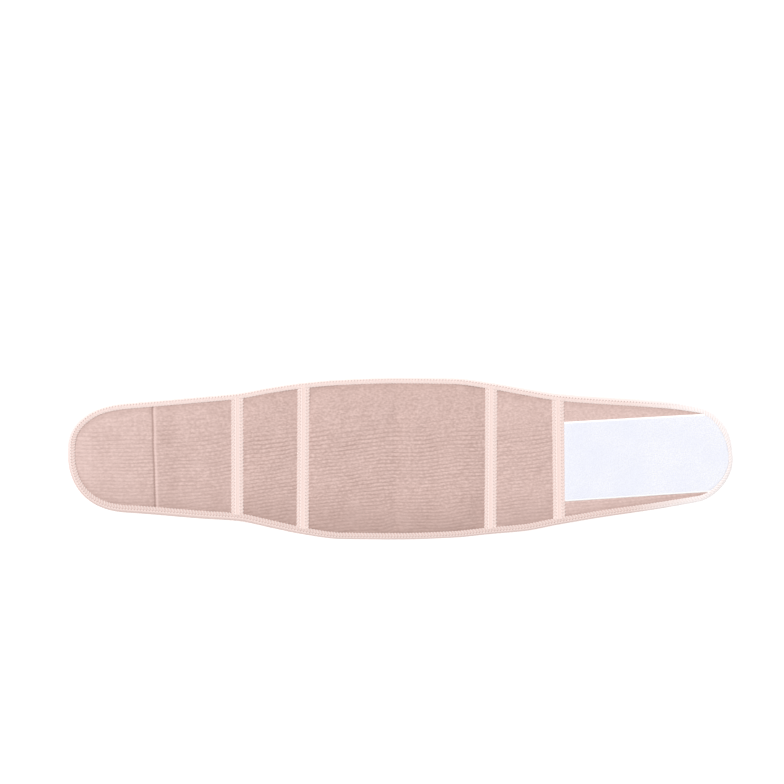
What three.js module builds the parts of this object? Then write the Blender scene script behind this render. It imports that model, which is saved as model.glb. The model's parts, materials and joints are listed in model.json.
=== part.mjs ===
// Lumbar support belt, laid flat with its knitted outer face up and its velour inner face down.
// Millimetres, +Z up. X runs along the belt and Y across it. The origin is on the resting plane,
// under the middle of the belt's box. -X is the wing with the hook patch, +X the wing with the loop patch.

import * as THREE from 'three';

// Lengths along the belt, between the centre lines of the tapes and out to the rounded ends.
const HOOK_WING = 217;
const HOOK_SIDE = 84;
const CENTRE = 240;
const LOOP_SIDE = 86.5;
const LOOP_WING = 222.5;

// Size across the belt and of its rounded ends.
const BELT_HEIGHT = 206;
const HOOK_TIP_LENGTH = 77;
const LOOP_TIP_LENGTH = 44;

// Cloth thicknesses and the clearance that is left between two layers.
const TAPE_CLOTH = 1.0;
const VELOUR_CLOTH = 1.8;
const KNIT_CLOTH = 1.6;
const PATCH_CLOTH = 1.0;
const CLEARANCE = 0.3;

// Widths of the trims.
const TAPE_WIDTH = 15;
const OUTER_BINDING = 8;
const INNER_BINDING = 10;
const BINDING_WALL = 1.1;
const FOLD_RADIUS = 1.6;

// Patches of the closure.
const LOOP_PATCH_HEIGHT = 100;
const LOOP_PATCH_TILT = 3.3;
const LOOP_PATCH_START_Y = -3.2;
const HOOK_PATCH_LENGTH = 110;

// How far the padded panels stand proud between their seams.
const KNIT_CROWN = 2.0;
const VELOUR_CROWN = TAPE_CLOTH + CLEARANCE;
const CROWN_RAMP = 26;
const FLATTENED_FROM = 0.5;
const TAPE_DOME = 0.25;
const GROOVE_DEPTH = 0.7;
const GROOVE_WIDTH = 4;
const CREASE_DEPTH = 0.5;
const CREASE_WIDTH = 9;
const CREASE_SHARE = 0.487;

// Heights of the layers above the resting plane, from the inner face up.
const VELOUR_LOW = TAPE_CLOTH + CLEARANCE;
const VELOUR_HIGH = VELOUR_LOW + VELOUR_CLOTH;
const KNIT_LOW = VELOUR_HIGH + CLEARANCE;
const KNIT_HIGH = KNIT_LOW + KNIT_CLOTH;
const TRIM_LOW = KNIT_HIGH + CLEARANCE;
const TRIM_HIGH = TRIM_LOW + TAPE_CLOTH;

// Places along the belt.
const BELT_LENGTH = HOOK_WING + HOOK_SIDE + CENTRE + LOOP_SIDE + LOOP_WING;
const HOOK_END = -BELT_LENGTH / 2;
const LOOP_END = BELT_LENGTH / 2;
const SEAMS = [
  HOOK_END + HOOK_WING,
  HOOK_END + HOOK_WING + HOOK_SIDE,
  HOOK_END + HOOK_WING + HOOK_SIDE + CENTRE,
  LOOP_END - LOOP_WING,
];
const HOOK_PATCH_EDGE = HOOK_END + HOOK_PATCH_LENGTH;

// The five stretches of the belt, from end to end.
const STRETCHES = {
  hookWing: { from: HOOK_END, to: SEAMS[0], crown: 0.5 },
  hookSide: { from: SEAMS[0], to: SEAMS[1], crown: 0.7 },
  centre: { from: SEAMS[1], to: SEAMS[2], crown: 1.0 },
  loopSide: { from: SEAMS[2], to: SEAMS[3], crown: 0.7 },
  loopWing: { from: SEAMS[3], to: LOOP_END, crown: 0 },
};

// Sections of the outline. share is a share of the stretch's length. top and bottom are shares of half
// the belt's height, before the ends are rounded.
const SECTIONS = [
  { on: 'hookWing', share: 0.00, top: 0.625, bottom: 0.630 },
  { on: 'hookWing', share: 0.36, top: 0.687, bottom: 0.668 },
  { on: 'hookWing', share: 0.78, top: 0.764, bottom: 0.739 },
  { on: 'hookSide', share: 0.00, top: 0.808, bottom: 0.770 },
  { on: 'hookSide', share: 0.50, top: 0.882, bottom: 0.853 },
  { on: 'centre', share: 0.00, top: 0.940, bottom: 0.936 },
  { on: 'centre', share: 0.20, top: 0.978, bottom: 0.994 },
  { on: 'centre', share: 0.50, top: 1.000, bottom: 1.000 },
  { on: 'centre', share: 0.80, top: 0.994, bottom: 0.977 },
  { on: 'loopSide', share: 0.00, top: 0.940, bottom: 0.932 },
  { on: 'loopSide', share: 0.50, top: 0.868, bottom: 0.894 },
  { on: 'loopWing', share: 0.00, top: 0.803, bottom: 0.815 },
  { on: 'loopWing', share: 0.24, top: 0.764, bottom: 0.727 },
  { on: 'loopWing', share: 0.58, top: 0.714, bottom: 0.618 },
  { on: 'loopWing', share: 0.80, top: 0.632, bottom: 0.534 },
  { on: 'loopWing', share: 1.00, top: 0.533, bottom: 0.448 },
];

// Rounded ends. level is the share of half the height where the end's middle lies, and the powers set
// how square each corner is.
const HOOK_TIP = { end: HOOK_END, reach: HOOK_TIP_LENGTH, level: 0.093, top: 2.5, bottom: 2.3 };
const LOOP_TIP = { end: LOOP_END, reach: LOOP_TIP_LENGTH, level: -0.018, top: 2.14, bottom: 1.96 };

// Width of the binding's outer flange along the belt, as shares of its named width.
const BINDING_SHARES = [
  { share: 0.00, top: 1.00, bottom: 1.00 },
  { share: 0.12, top: 0.88, bottom: 1.05 },
  { share: 0.50, top: 0.84, bottom: 1.20 },
  { share: 0.85, top: 0.84, bottom: 1.05 },
  { share: 1.00, top: 0.70, bottom: 0.70 },
];

// Gathers where the velour meets the binding's lower run. share is a share of the centre panel's length.
// reach and depth are shares of the gather's greatest reach and depth.
const GATHER_REACH = 22;
const GATHER_DEPTH = 0.9;
const GATHER_WIDTH = 3;
const GATHERS = [
  { share: 0.815, reach: 0.7, depth: 0.8 },
  { share: 0.775, reach: 1.0, depth: 1.0 },
  { share: 0.730, reach: 0.8, depth: 0.9 },
  { share: 0.690, reach: 0.6, depth: 0.7 },
  { share: 0.585, reach: 0.8, depth: 0.7 },
  { share: 0.520, reach: 0.9, depth: 0.8 },
  { share: 0.450, reach: 0.7, depth: 0.6 },
];

// Fineness of the meshes. The columns of a rounded end, as shares of its length, lie closer together
// towards the end.
const TIP_COLUMNS = [0, 0.006, 0.025, 0.07, 0.14, 0.24, 0.38, 0.56, 0.78, 1];
const OUTLINE_STEPS = 36;
const WING_COLUMNS = 6;
const SIDE_COLUMNS = 6;
const CENTRE_COLUMNS = 14;
const PANEL_ROWS = 10;
const PATCH_ROWS = 4;
const TAPE_COLUMNS = 6;

const COLOURS = {
  knit: 0xd5b7b1,
  velour: 0xe6b892,
  trim: 0xfae6de,
  loop: 0xf5f3fe,
  hook: 0xf8f3fb,
};

const clamp = THREE.MathUtils.clamp;
const lerp = THREE.MathUtils.lerp;

/** Height between 0 and 1 of a soft shoulder, at a distance from the seam. */
function shoulder(distance, ramp) {
  const t = clamp(distance / ramp, 0, 1);
  return Math.sin((t * Math.PI) / 2);
}

/** Reads one column of a table of places, with a smooth curve through its rows. */
function readTable(table, column, x) {
  const last = table.length - 1;
  if (x <= table[0].x) return table[0][column];
  if (x >= table[last].x) return table[last][column];
  const i = table.findIndex((row) => row.x > x) - 1;
  const slope = (k) => (table[k + 1][column] - table[k][column]) / (table[k + 1].x - table[k].x);
  const tangent = (k) => {
    if (k === 0) return slope(0);
    if (k === last) return slope(last - 1);
    const turns = slope(k - 1) * slope(k) <= 0;
    return turns ? 0 : (2 * slope(k - 1) * slope(k)) / (slope(k - 1) + slope(k));
  };
  const span = table[i + 1].x - table[i].x;
  const t = (x - table[i].x) / span;
  const hermite = [
    2 * t ** 3 - 3 * t ** 2 + 1,
    t ** 3 - 2 * t ** 2 + t,
    -2 * t ** 3 + 3 * t ** 2,
    t ** 3 - t ** 2,
  ];
  return hermite[0] * table[i][column] + hermite[1] * span * tangent(i)
    + hermite[2] * table[i + 1][column] + hermite[3] * span * tangent(i + 1);
}

const sectionTable = SECTIONS.map(({ on, share, top, bottom }) => ({
  x: lerp(STRETCHES[on].from, STRETCHES[on].to, share), top, bottom,
}));
const bindingTable = BINDING_SHARES.map(({ share, top, bottom }) => ({
  x: lerp(HOOK_END, LOOP_END, share), top, bottom,
}));

/** Share of its full depth that a rounded end has at x. */
function tipShare(tip, side, x) {
  const inward = Math.abs(x - tip.end) / tip.reach;
  if (inward >= 1) return 1;
  return (1 - (1 - inward) ** tip[side]) ** (1 / tip[side]);
}

/** Level that the rounded ends close towards, fading out over the wings. */
function tipLevel(x) {
  const near = x < 0 ? HOOK_TIP : LOOP_TIP;
  const away = clamp(Math.abs(x - near.end) / near.reach, 0, 1);
  return (near.level * (1 - away) * BELT_HEIGHT) / 2;
}

/** Y of the belt's outline at x, on its top or bottom side. */
function outlineY(side, x) {
  const sign = side === 'top' ? 1 : -1;
  const straight = (sign * readTable(sectionTable, side, x) * BELT_HEIGHT) / 2;
  const near = x < 0 ? HOOK_TIP : LOOP_TIP;
  const level = tipLevel(x);
  return level + (straight - level) * tipShare(near, side, x);
}

/** Places along X where the outline is sampled, closer together at the rounded ends. */
function outlinePlaces() {
  const places = new Set();
  for (const share of TIP_COLUMNS) {
    places.add(HOOK_END + share * HOOK_TIP_LENGTH);
    places.add(LOOP_END - share * LOOP_TIP_LENGTH);
  }
  const from = HOOK_END + HOOK_TIP_LENGTH;
  const to = LOOP_END - LOOP_TIP_LENGTH;
  for (let i = 1; i < OUTLINE_STEPS; i += 1) places.add(lerp(from, to, i / OUTLINE_STEPS));
  return [...places].sort((a, b) => a - b);
}

/** The outline as a closed ring of stations, each with its point and its inward normal. */
function outlineStations() {
  const places = outlinePlaces();
  const stations = places.map((x) => ({ side: 'bottom', x, y: outlineY('bottom', x) }));
  for (const x of places.slice(1, -1).reverse()) stations.push({ side: 'top', x, y: outlineY('top', x) });
  const count = stations.length;
  return stations.map((station, i) => {
    const before = stations[(i + count - 1) % count];
    const after = stations[(i + 1) % count];
    const inward = new THREE.Vector2(before.y - after.y, after.x - before.x).normalize();
    return { ...station, inward };
  });
}

const STATIONS = outlineStations();

/** Width of the binding's flange on the outer face at a place on the outline. */
function outerFlange(side, x) {
  return OUTER_BINDING * readTable(bindingTable, side, x);
}

/** A line inside the outline: its Y at any x, and the x of its two ends. */
function insetRail(inset) {
  const runs = { top: [], bottom: [] };
  for (const { side, x, y, inward } of STATIONS) {
    const depth = inset(side, x);
    runs[side].push(new THREE.Vector2(x + inward.x * depth, y + inward.y * depth));
  }
  const ends = [runs.bottom[0], runs.bottom[runs.bottom.length - 1]];
  runs.top.reverse();
  runs.top = [ends[0], ...runs.top, ends[1]];
  const yAt = (side, x) => {
    const run = runs[side];
    if (x <= run[0].x) return run[0].y;
    const i = run.findIndex((point) => point.x > x);
    if (i < 0) return run[run.length - 1].y;
    const t = (x - run[i - 1].x) / (run[i].x - run[i - 1].x);
    return lerp(run[i - 1].y, run[i].y, t);
  };
  return { yAt, from: ends[0].x, to: ends[1].x };
}

const CLOTH_EDGE = insetRail(() => BINDING_WALL + CLEARANCE);
const OUTER_OPENING = insetRail((side, x) => outerFlange(side, x) + CLEARANCE);
const INNER_OPENING = insetRail(() => INNER_BINDING + CLEARANCE);

/** Gathers triangles into one closed skin, sharing points that coincide. */
class Skin {
  constructor() {
    this.points = [];
    this.faces = [];
    this.known = new Map();
  }

  point(x, y, z) {
    const key = [x, y, z].map((value) => Math.round(value * 1e4)).join();
    if (!this.known.has(key)) {
      this.known.set(key, this.points.length);
      this.points.push([x, y, z]);
    }
    return this.known.get(key);
  }

  triangle(a, b, c) {
    if (a !== b && b !== c && c !== a) this.faces.push(a, b, c);
  }

  quad(a, b, c, d) {
    this.triangle(a, b, c);
    this.triangle(a, c, d);
  }

  geometry() {
    const geometry = new THREE.BufferGeometry();
    geometry.setAttribute('position', new THREE.Float32BufferAttribute(this.points.flat(), 3));
    geometry.setIndex(this.faces);
    geometry.computeVertexNormals();
    return geometry;
  }
}

/** A sheet of cloth over columns along X and rows along Y, between an under and an upper surface. */
function sheetGeometry({ columns, rowsAt, under, over }) {
  const skin = new Skin();
  const low = [];
  const high = [];
  for (const x of columns) {
    const rows = rowsAt(x);
    low.push(rows.map((y, j) => skin.point(x, y, under(x, y, j))));
    high.push(rows.map((y, j) => skin.point(x, y, over(x, y, j))));
  }
  const lastColumn = columns.length - 1;
  const lastRow = low[0].length - 1;
  for (let i = 0; i < lastColumn; i += 1) {
    for (let j = 0; j < lastRow; j += 1) {
      skin.quad(high[i][j], high[i + 1][j], high[i + 1][j + 1], high[i][j + 1]);
      skin.quad(low[i][j], low[i][j + 1], low[i + 1][j + 1], low[i + 1][j]);
    }
    skin.quad(low[i][0], low[i + 1][0], high[i + 1][0], high[i][0]);
    skin.quad(low[i + 1][lastRow], low[i][lastRow], high[i][lastRow], high[i + 1][lastRow]);
  }
  for (let j = 0; j < lastRow; j += 1) {
    skin.quad(low[0][j + 1], low[0][j], high[0][j], high[0][j + 1]);
    skin.quad(low[lastColumn][j], low[lastColumn][j + 1], high[lastColumn][j + 1], high[lastColumn][j]);
  }
  return skin.geometry();
}

/** Rows across a panel: its cloth edges, the lines where the trim ends, and even rows between them. */
function panelRows(opening, x) {
  const rows = [CLOTH_EDGE.yAt('bottom', x)];
  const low = Math.max(opening.yAt('bottom', x), rows[0]);
  const edge = CLOTH_EDGE.yAt('top', x);
  const high = Math.min(opening.yAt('top', x), edge);
  const inside = PANEL_ROWS - 2;
  for (let j = 0; j <= inside; j += 1) rows.push(lerp(low, high, j / inside));
  rows.push(edge);
  return rows;
}

/** Even steps between two places, both included. */
function evenSteps(from, to, count) {
  return Array.from({ length: count + 1 }, (_, i) => lerp(from, to, i / count));
}

/** Columns of a panel between two seams, with one at the edge of each tape. */
function seamedColumns({ from, to }, count) {
  const half = TAPE_WIDTH / 2 + CLEARANCE;
  const inside = evenSteps(from + half, to - half, count);
  return [from + CLEARANCE / 2, ...inside, to - CLEARANCE / 2];
}

/** Columns of a wing's panel, from its rounded end to its tape. */
function wingColumns(stretch, tip) {
  const inwards = Math.sign(-tip.end);
  const end = tip.end < 0 ? CLOTH_EDGE.from : CLOTH_EDGE.to;
  const seam = tip.end < 0 ? stretch.to : stretch.from;
  const tapeEdge = seam - inwards * (TAPE_WIDTH / 2 + CLEARANCE);
  const round = TIP_COLUMNS.map((share) => end + inwards * share * tip.reach);
  const straight = evenSteps(round[round.length - 1], tapeEdge, WING_COLUMNS).slice(1);
  const columns = [...round, ...straight, seam - (inwards * CLEARANCE) / 2];
  return tip.end < 0 ? columns : columns.reverse();
}

/** How full the padding is at a point of a panel, 0 at its seams and up to 1 in its middle. */
function fullness(stretch, opening, x, y) {
  const half = TAPE_WIDTH / 2 + CLEARANCE;
  const fromStart = stretch.from === HOOK_END ? x - opening.from : x - stretch.from - half;
  const fromEnd = stretch.to === LOOP_END ? opening.to - x : stretch.to - half - x;
  const fromSides = Math.min(y - opening.yAt('bottom', x), opening.yAt('top', x) - y);
  return shoulder(Math.min(fromStart, fromEnd), CROWN_RAMP) * shoulder(fromSides, CROWN_RAMP);
}

/** A narrow valley across the belt at one place. */
function valley(x, at, width) {
  return Math.exp(-(((x - at) / width) ** 2));
}

// Valleys across the knit: the groove sewn along the hook patch's edge, and the fold line in the centre.
const VALLEYS = {
  hookWing: { at: HOOK_PATCH_EDGE, width: GROOVE_WIDTH, depth: GROOVE_DEPTH },
  centre: { at: lerp(SEAMS[1], SEAMS[2], CREASE_SHARE), width: CREASE_WIDTH, depth: CREASE_DEPTH },
};

/** Height of the knit's upper surface. */
function knitTop(name, x, y) {
  const stretch = STRETCHES[name];
  const full = fullness(stretch, OUTER_OPENING, x, y);
  const dent = name in VALLEYS ? VALLEYS[name].depth * valley(x, VALLEYS[name].at, VALLEYS[name].width) : 0;
  return KNIT_HIGH + Math.max(0, full * (KNIT_CROWN * stretch.crown - dent));
}

/** How far the gathers lift the velour off the resting plane. */
function gatherLift(x, y) {
  const lowEdge = INNER_OPENING.yAt('bottom', x);
  let lift = 0;
  for (const { share, reach, depth } of GATHERS) {
    const at = lerp(STRETCHES.centre.from, STRETCHES.centre.to, share);
    const fade = clamp(1 - (y - lowEdge) / (reach * GATHER_REACH), 0, 1);
    lift = Math.max(lift, GATHER_DEPTH * depth * fade * valley(x, at, GATHER_WIDTH));
  }
  return lift;
}

/** Height of the velour's under surface, pressed flat on the resting plane where it is fullest. */
function velourUnder(name, x, y) {
  if (name === 'hookWing' && x < HOOK_PATCH_EDGE + CLEARANCE) return VELOUR_LOW;
  const full = fullness(STRETCHES[name], INNER_OPENING, x, y);
  const drop = shoulder(full, FLATTENED_FROM) * VELOUR_CROWN;
  const lift = name === 'centre' ? gatherLift(x, y) : 0;
  return Math.min(VELOUR_LOW, VELOUR_LOW - drop + lift);
}

const velourMaterial = new THREE.MeshStandardMaterial({ color: COLOURS.velour, roughness: 0.95 });
const knitMaterial = new THREE.MeshStandardMaterial({ color: COLOURS.knit, roughness: 0.9 });
const trimMaterial = new THREE.MeshStandardMaterial({ color: COLOURS.trim, roughness: 0.7 });
const loopMaterial = new THREE.MeshStandardMaterial({ color: COLOURS.loop, roughness: 0.95 });
const hookMaterial = new THREE.MeshStandardMaterial({ color: COLOURS.hook, roughness: 0.45 });

/** A named mesh. */
function piece(name, geometry, material) {
  const mesh = new THREE.Mesh(geometry, material);
  mesh.name = name;
  return mesh;
}

/** Columns of each stretch's panels. */
function stretchColumns(name) {
  const stretch = STRETCHES[name];
  if (name === 'hookWing') return wingColumns(stretch, HOOK_TIP);
  if (name === 'loopWing') return wingColumns(stretch, LOOP_TIP);
  return seamedColumns(stretch, name === 'centre' ? CENTRE_COLUMNS : SIDE_COLUMNS);
}

/** Columns with three more in each fold: at its bottom and at both shoulders. */
function foldedColumns(columns, folds) {
  const extra = folds.flatMap(({ at, width }) => [at - width, at, at + width]);
  return [...columns, ...extra].sort((a, b) => a - b);
}

/** A ribbed knit panel of the outer face. */
function knitPanel(label, name) {
  const folds = name in VALLEYS ? [VALLEYS[name]] : [];
  return piece(label, sheetGeometry({
    columns: foldedColumns(stretchColumns(name), folds),
    rowsAt: (x) => panelRows(OUTER_OPENING, x),
    under: () => KNIT_LOW,
    over: (x, y) => knitTop(name, x, y),
  }), knitMaterial);
}

/** The folds of a velour panel: the gathers, or the step at the hook patch's edge. */
function velourFolds(name) {
  if (name === 'hookWing') return [{ at: HOOK_PATCH_EDGE + CLEARANCE, width: CLEARANCE }];
  if (name !== 'centre') return [];
  return GATHERS.map(({ share }) => ({ at: lerp(SEAMS[1], SEAMS[2], share), width: GATHER_WIDTH }));
}

/** A velour panel of the inner face. */
function velourPanel(label, name) {
  return piece(label, sheetGeometry({
    columns: foldedColumns(stretchColumns(name), velourFolds(name)),
    rowsAt: (x) => panelRows(INNER_OPENING, x),
    under: (x, y) => velourUnder(name, x, y),
    over: () => VELOUR_HIGH,
  }), velourMaterial);
}

/** A domed tape over a seam of the outer face, between the binding's two runs. */
function outerTape(name, seam) {
  const half = TAPE_WIDTH / 2;
  const dome = (x) => TAPE_DOME * ((x - seam) / half) ** 2;
  return piece(name, sheetGeometry({
    columns: evenSteps(seam - half, seam + half, TAPE_COLUMNS),
    rowsAt: (x) => [OUTER_OPENING.yAt('bottom', x), OUTER_OPENING.yAt('top', x)],
    under: () => TRIM_LOW,
    over: (x) => TRIM_HIGH - dome(x),
  }), trimMaterial);
}

/** A flat tape over a seam of the inner face, between the binding's two runs. */
function innerTape(name, seam) {
  return piece(name, sheetGeometry({
    columns: evenSteps(seam - TAPE_WIDTH / 2, seam + TAPE_WIDTH / 2, TAPE_COLUMNS),
    rowsAt: (x) => [INNER_OPENING.yAt('bottom', x), INNER_OPENING.yAt('top', x)],
    under: () => 0,
    over: () => TAPE_CLOTH,
  }), trimMaterial);
}

/** The section of the binding, as depths in from the outline and heights. */
function bindingSection(outerWidth, innerWidth) {
  const corner = FOLD_RADIUS * (1 - Math.SQRT1_2);
  return [
    [outerWidth, TRIM_LOW],
    [outerWidth, TRIM_HIGH],
    [FOLD_RADIUS, TRIM_HIGH],
    [corner, TRIM_HIGH - corner],
    [0, TRIM_HIGH - FOLD_RADIUS],
    [0, FOLD_RADIUS],
    [corner, corner],
    [FOLD_RADIUS, 0],
    [innerWidth, 0],
    [innerWidth, TAPE_CLOTH],
    [BINDING_WALL, TAPE_CLOTH],
    [BINDING_WALL, TRIM_LOW],
  ];
}

/** The binding folded over the edge all the way round. */
function binding() {
  const skin = new Skin();
  const rings = STATIONS.map(({ side, x, y, inward }) => {
    const section = bindingSection(outerFlange(side, x), INNER_BINDING);
    return section.map(([depth, z]) => skin.point(x + inward.x * depth, y + inward.y * depth, z));
  });
  rings.forEach((ring, i) => {
    const next = rings[(i + 1) % rings.length];
    ring.forEach((corner, j) => {
      const k = (j + 1) % ring.length;
      skin.quad(corner, ring[k], next[k], next[j]);
    });
  });
  return piece('edge_binding', skin.geometry(), trimMaterial);
}

/** The soft patch on the outer face of the loop wing. */
function loopPatch() {
  const from = SEAMS[3] + TAPE_WIDTH / 2 + CLEARANCE;
  const slope = Math.tan(THREE.MathUtils.degToRad(LOOP_PATCH_TILT));
  const middle = (x) => LOOP_PATCH_START_Y + (x - from) * slope;
  const low = (x) => Math.max(middle(x) - LOOP_PATCH_HEIGHT / 2, OUTER_OPENING.yAt('bottom', x));
  const high = (x) => Math.min(middle(x) + LOOP_PATCH_HEIGHT / 2, OUTER_OPENING.yAt('top', x));
  const end = OUTER_OPENING.to;
  const round = TIP_COLUMNS.map((share) => end - share * LOOP_TIP_LENGTH).reverse();
  const columns = [...evenSteps(from, round[0], WING_COLUMNS).slice(0, -1), ...round];
  return piece('loop_patch', sheetGeometry({
    columns,
    rowsAt: (x) => evenSteps(low(x), high(x), PATCH_ROWS),
    under: () => TRIM_LOW,
    over: () => TRIM_LOW + PATCH_CLOTH,
  }), loopMaterial);
}

/** The hook patch on the inner face of the hook wing. */
function hookPatch() {
  const start = INNER_OPENING.from;
  const round = TIP_COLUMNS.map((share) => start + share * HOOK_TIP_LENGTH);
  const last = round[round.length - 1];
  const columns = [...round, ...evenSteps(last, HOOK_PATCH_EDGE, 2).slice(1)];
  return piece('hook_patch', sheetGeometry({
    columns,
    rowsAt: (x) => evenSteps(INNER_OPENING.yAt('bottom', x), INNER_OPENING.yAt('top', x), PATCH_ROWS),
    under: () => 0,
    over: () => PATCH_CLOTH,
  }), hookMaterial);
}

const outerFace = new THREE.Group();
outerFace.add(knitPanel('knit_hook_wing', 'hookWing'));
outerFace.add(knitPanel('knit_hook_side', 'hookSide'));
outerFace.add(knitPanel('knit_centre', 'centre'));
outerFace.add(knitPanel('knit_loop_side', 'loopSide'));
outerFace.add(knitPanel('knit_loop_wing', 'loopWing'));
outerFace.add(loopPatch());

const innerFace = new THREE.Group();
innerFace.add(velourPanel('velour_hook_wing', 'hookWing'));
innerFace.add(velourPanel('velour_hook_side', 'hookSide'));
innerFace.add(velourPanel('velour_centre', 'centre'));
innerFace.add(velourPanel('velour_loop_side', 'loopSide'));
innerFace.add(velourPanel('velour_loop_wing', 'loopWing'));
innerFace.add(hookPatch());

const trims = new THREE.Group();
SEAMS.forEach((seam, i) => {
  trims.add(outerTape(`outer_tape_${i + 1}`, seam));
  trims.add(innerTape(`inner_tape_${i + 1}`, seam));
});
trims.add(binding());

const belt = new THREE.Group();
belt.add(outerFace, innerFace, trims);

export default belt;
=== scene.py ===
"""Lumbar support belt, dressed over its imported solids: knit, velour, tapes, binding and patches."""

import json
import logging
import math
from dataclasses import dataclass
from enum import Enum
from typing import Callable, Sequence

import bmesh
import bpy
import numpy as np
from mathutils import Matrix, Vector, noise

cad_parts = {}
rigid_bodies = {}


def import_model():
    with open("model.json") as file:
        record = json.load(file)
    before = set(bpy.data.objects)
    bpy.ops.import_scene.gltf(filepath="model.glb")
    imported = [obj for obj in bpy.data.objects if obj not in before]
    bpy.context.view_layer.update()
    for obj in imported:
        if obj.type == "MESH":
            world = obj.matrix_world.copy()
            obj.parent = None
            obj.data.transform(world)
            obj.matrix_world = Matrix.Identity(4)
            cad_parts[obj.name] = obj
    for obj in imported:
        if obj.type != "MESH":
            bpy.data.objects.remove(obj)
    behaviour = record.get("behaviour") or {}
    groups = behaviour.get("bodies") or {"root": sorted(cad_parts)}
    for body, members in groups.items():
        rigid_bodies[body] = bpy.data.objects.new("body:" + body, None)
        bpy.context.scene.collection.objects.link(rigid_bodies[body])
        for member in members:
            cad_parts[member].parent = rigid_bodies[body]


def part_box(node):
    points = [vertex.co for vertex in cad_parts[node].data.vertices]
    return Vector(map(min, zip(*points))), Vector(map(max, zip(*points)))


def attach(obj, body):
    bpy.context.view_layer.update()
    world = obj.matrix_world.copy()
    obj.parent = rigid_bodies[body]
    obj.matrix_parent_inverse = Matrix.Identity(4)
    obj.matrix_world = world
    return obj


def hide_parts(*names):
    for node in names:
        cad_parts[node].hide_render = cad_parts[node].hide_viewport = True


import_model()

LOG = logging.getLogger("belt")
MM = 0.001
STUDIO_LIGHT = 1.14
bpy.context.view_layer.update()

Array = np.ndarray
Colour = tuple[float, float, float, float]


class Side(Enum):
    """The two long sides of the belt."""

    TOP = 1
    BOTTOM = -1


class Face(Enum):
    """The two faces of the belt: the knit one looks up, the velour one down."""

    OUTER = 1
    INNER = -1


class Stretch(Enum):
    """The five panels of a face, from the hook patch's end to the loop patch's end."""

    HOOK_WING = "hook_wing"
    HOOK_SIDE = "hook_side"
    CENTRE = "centre"
    LOOP_SIDE = "loop_side"
    LOOP_WING = "loop_wing"


@dataclass(frozen=True)
class Section:
    """A section of the outline: where it is, and its depths as shares of half the belt's height."""

    on: Stretch
    share: float
    top: float
    bottom: float


@dataclass(frozen=True)
class Tip:
    """A rounded end: its reach, the level it closes at, and how square its two corners are."""

    reach: float
    level: float
    top: float
    bottom: float


SECTIONS = (
    Section(Stretch.HOOK_WING, 0.00, 0.625, 0.630),
    Section(Stretch.HOOK_WING, 0.36, 0.687, 0.668),
    Section(Stretch.HOOK_WING, 0.78, 0.764, 0.739),
    Section(Stretch.HOOK_SIDE, 0.00, 0.808, 0.770),
    Section(Stretch.HOOK_SIDE, 0.50, 0.882, 0.853),
    Section(Stretch.CENTRE, 0.00, 0.940, 0.936),
    Section(Stretch.CENTRE, 0.20, 0.978, 0.994),
    Section(Stretch.CENTRE, 0.50, 1.000, 1.000),
    Section(Stretch.CENTRE, 0.80, 0.994, 0.977),
    Section(Stretch.LOOP_SIDE, 0.00, 0.940, 0.932),
    Section(Stretch.LOOP_SIDE, 0.50, 0.868, 0.894),
    Section(Stretch.LOOP_WING, 0.00, 0.803, 0.815),
    Section(Stretch.LOOP_WING, 0.24, 0.764, 0.727),
    Section(Stretch.LOOP_WING, 0.58, 0.714, 0.618),
    Section(Stretch.LOOP_WING, 0.80, 0.632, 0.534),
    Section(Stretch.LOOP_WING, 1.00, 0.533, 0.448),
)
HOOK_TIP = Tip(reach=77 * MM, level=0.093, top=2.5, bottom=2.3)
LOOP_TIP = Tip(reach=44 * MM, level=-0.018, top=2.14, bottom=1.96)

# Width of the binding's outer flange: share of the belt's length, then shares of its named width.
BINDING_SHARES = (
    (0.00, 1.20, 1.16), (0.02, 1.12, 1.12), (0.05, 0.96, 1.12), (0.15, 0.95, 1.20), (0.30, 0.95, 1.16),
    (0.42, 0.92, 0.98), (0.55, 0.95, 0.98), (0.66, 1.06, 1.04), (0.80, 1.20, 1.04), (0.88, 1.18, 1.02),
    (0.94, 0.88, 0.92), (1.00, 0.66, 0.66),
)


def seen(red: int, green: int, blue: int) -> Colour:
    """Gives the colour of a matt surface from how it shows in the studio's light.

    Args:
        red: Display value from 0 to 255, or a little more where the picture is overexposed.
        green: The same for green.
        blue: The same for blue.

    Returns:
        The surface's linear colour.
    """
    shown = [value / 255 for value in (red, green, blue)]
    linear = [v / 12.92 if v <= 0.04045 else ((v + 0.055) / 1.055) ** 2.4 for v in shown]
    return *(min(1.0, value / STUDIO_LIGHT) for value in linear), 1.0


def smooth_curve(xs: Sequence[float], ys: Sequence[float], at: Array) -> Array:
    """Reads a table along a smooth curve that never overshoots its rows.

    Args:
        xs: Places of the rows, rising.
        ys: Values of the rows.
        at: Places to read.

    Returns:
        The values at those places.
    """
    x, y = np.asarray(xs, float), np.asarray(ys, float)
    slope = np.diff(y) / np.diff(x)
    inner = np.where(
        slope[:-1] * slope[1:] > 0,
        2 * slope[:-1] * slope[1:] / np.where(slope[:-1] + slope[1:] == 0, 1, slope[:-1] + slope[1:]),
        0.0,
    )
    tangent = np.concatenate([slope[:1], inner, slope[-1:]])
    at = np.clip(at, x[0], x[-1])
    i = np.clip(np.searchsorted(x, at, side="right") - 1, 0, len(x) - 2)
    span = x[i + 1] - x[i]
    t = (at - x[i]) / span
    return (
        (2 * t**3 - 3 * t**2 + 1) * y[i]
        + (t**3 - 2 * t**2 + t) * span * tangent[i]
        + (3 * t**2 - 2 * t**3) * y[i + 1]
        + (t**3 - t**2) * span * tangent[i + 1]
    )


def shoulder(distance: Array, ramp: float) -> Array:
    """Soft rise from 0 at a seam to 1 at ramp away from it."""
    return np.sin(np.clip(distance / ramp, 0, 1) * math.pi / 2)


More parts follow.
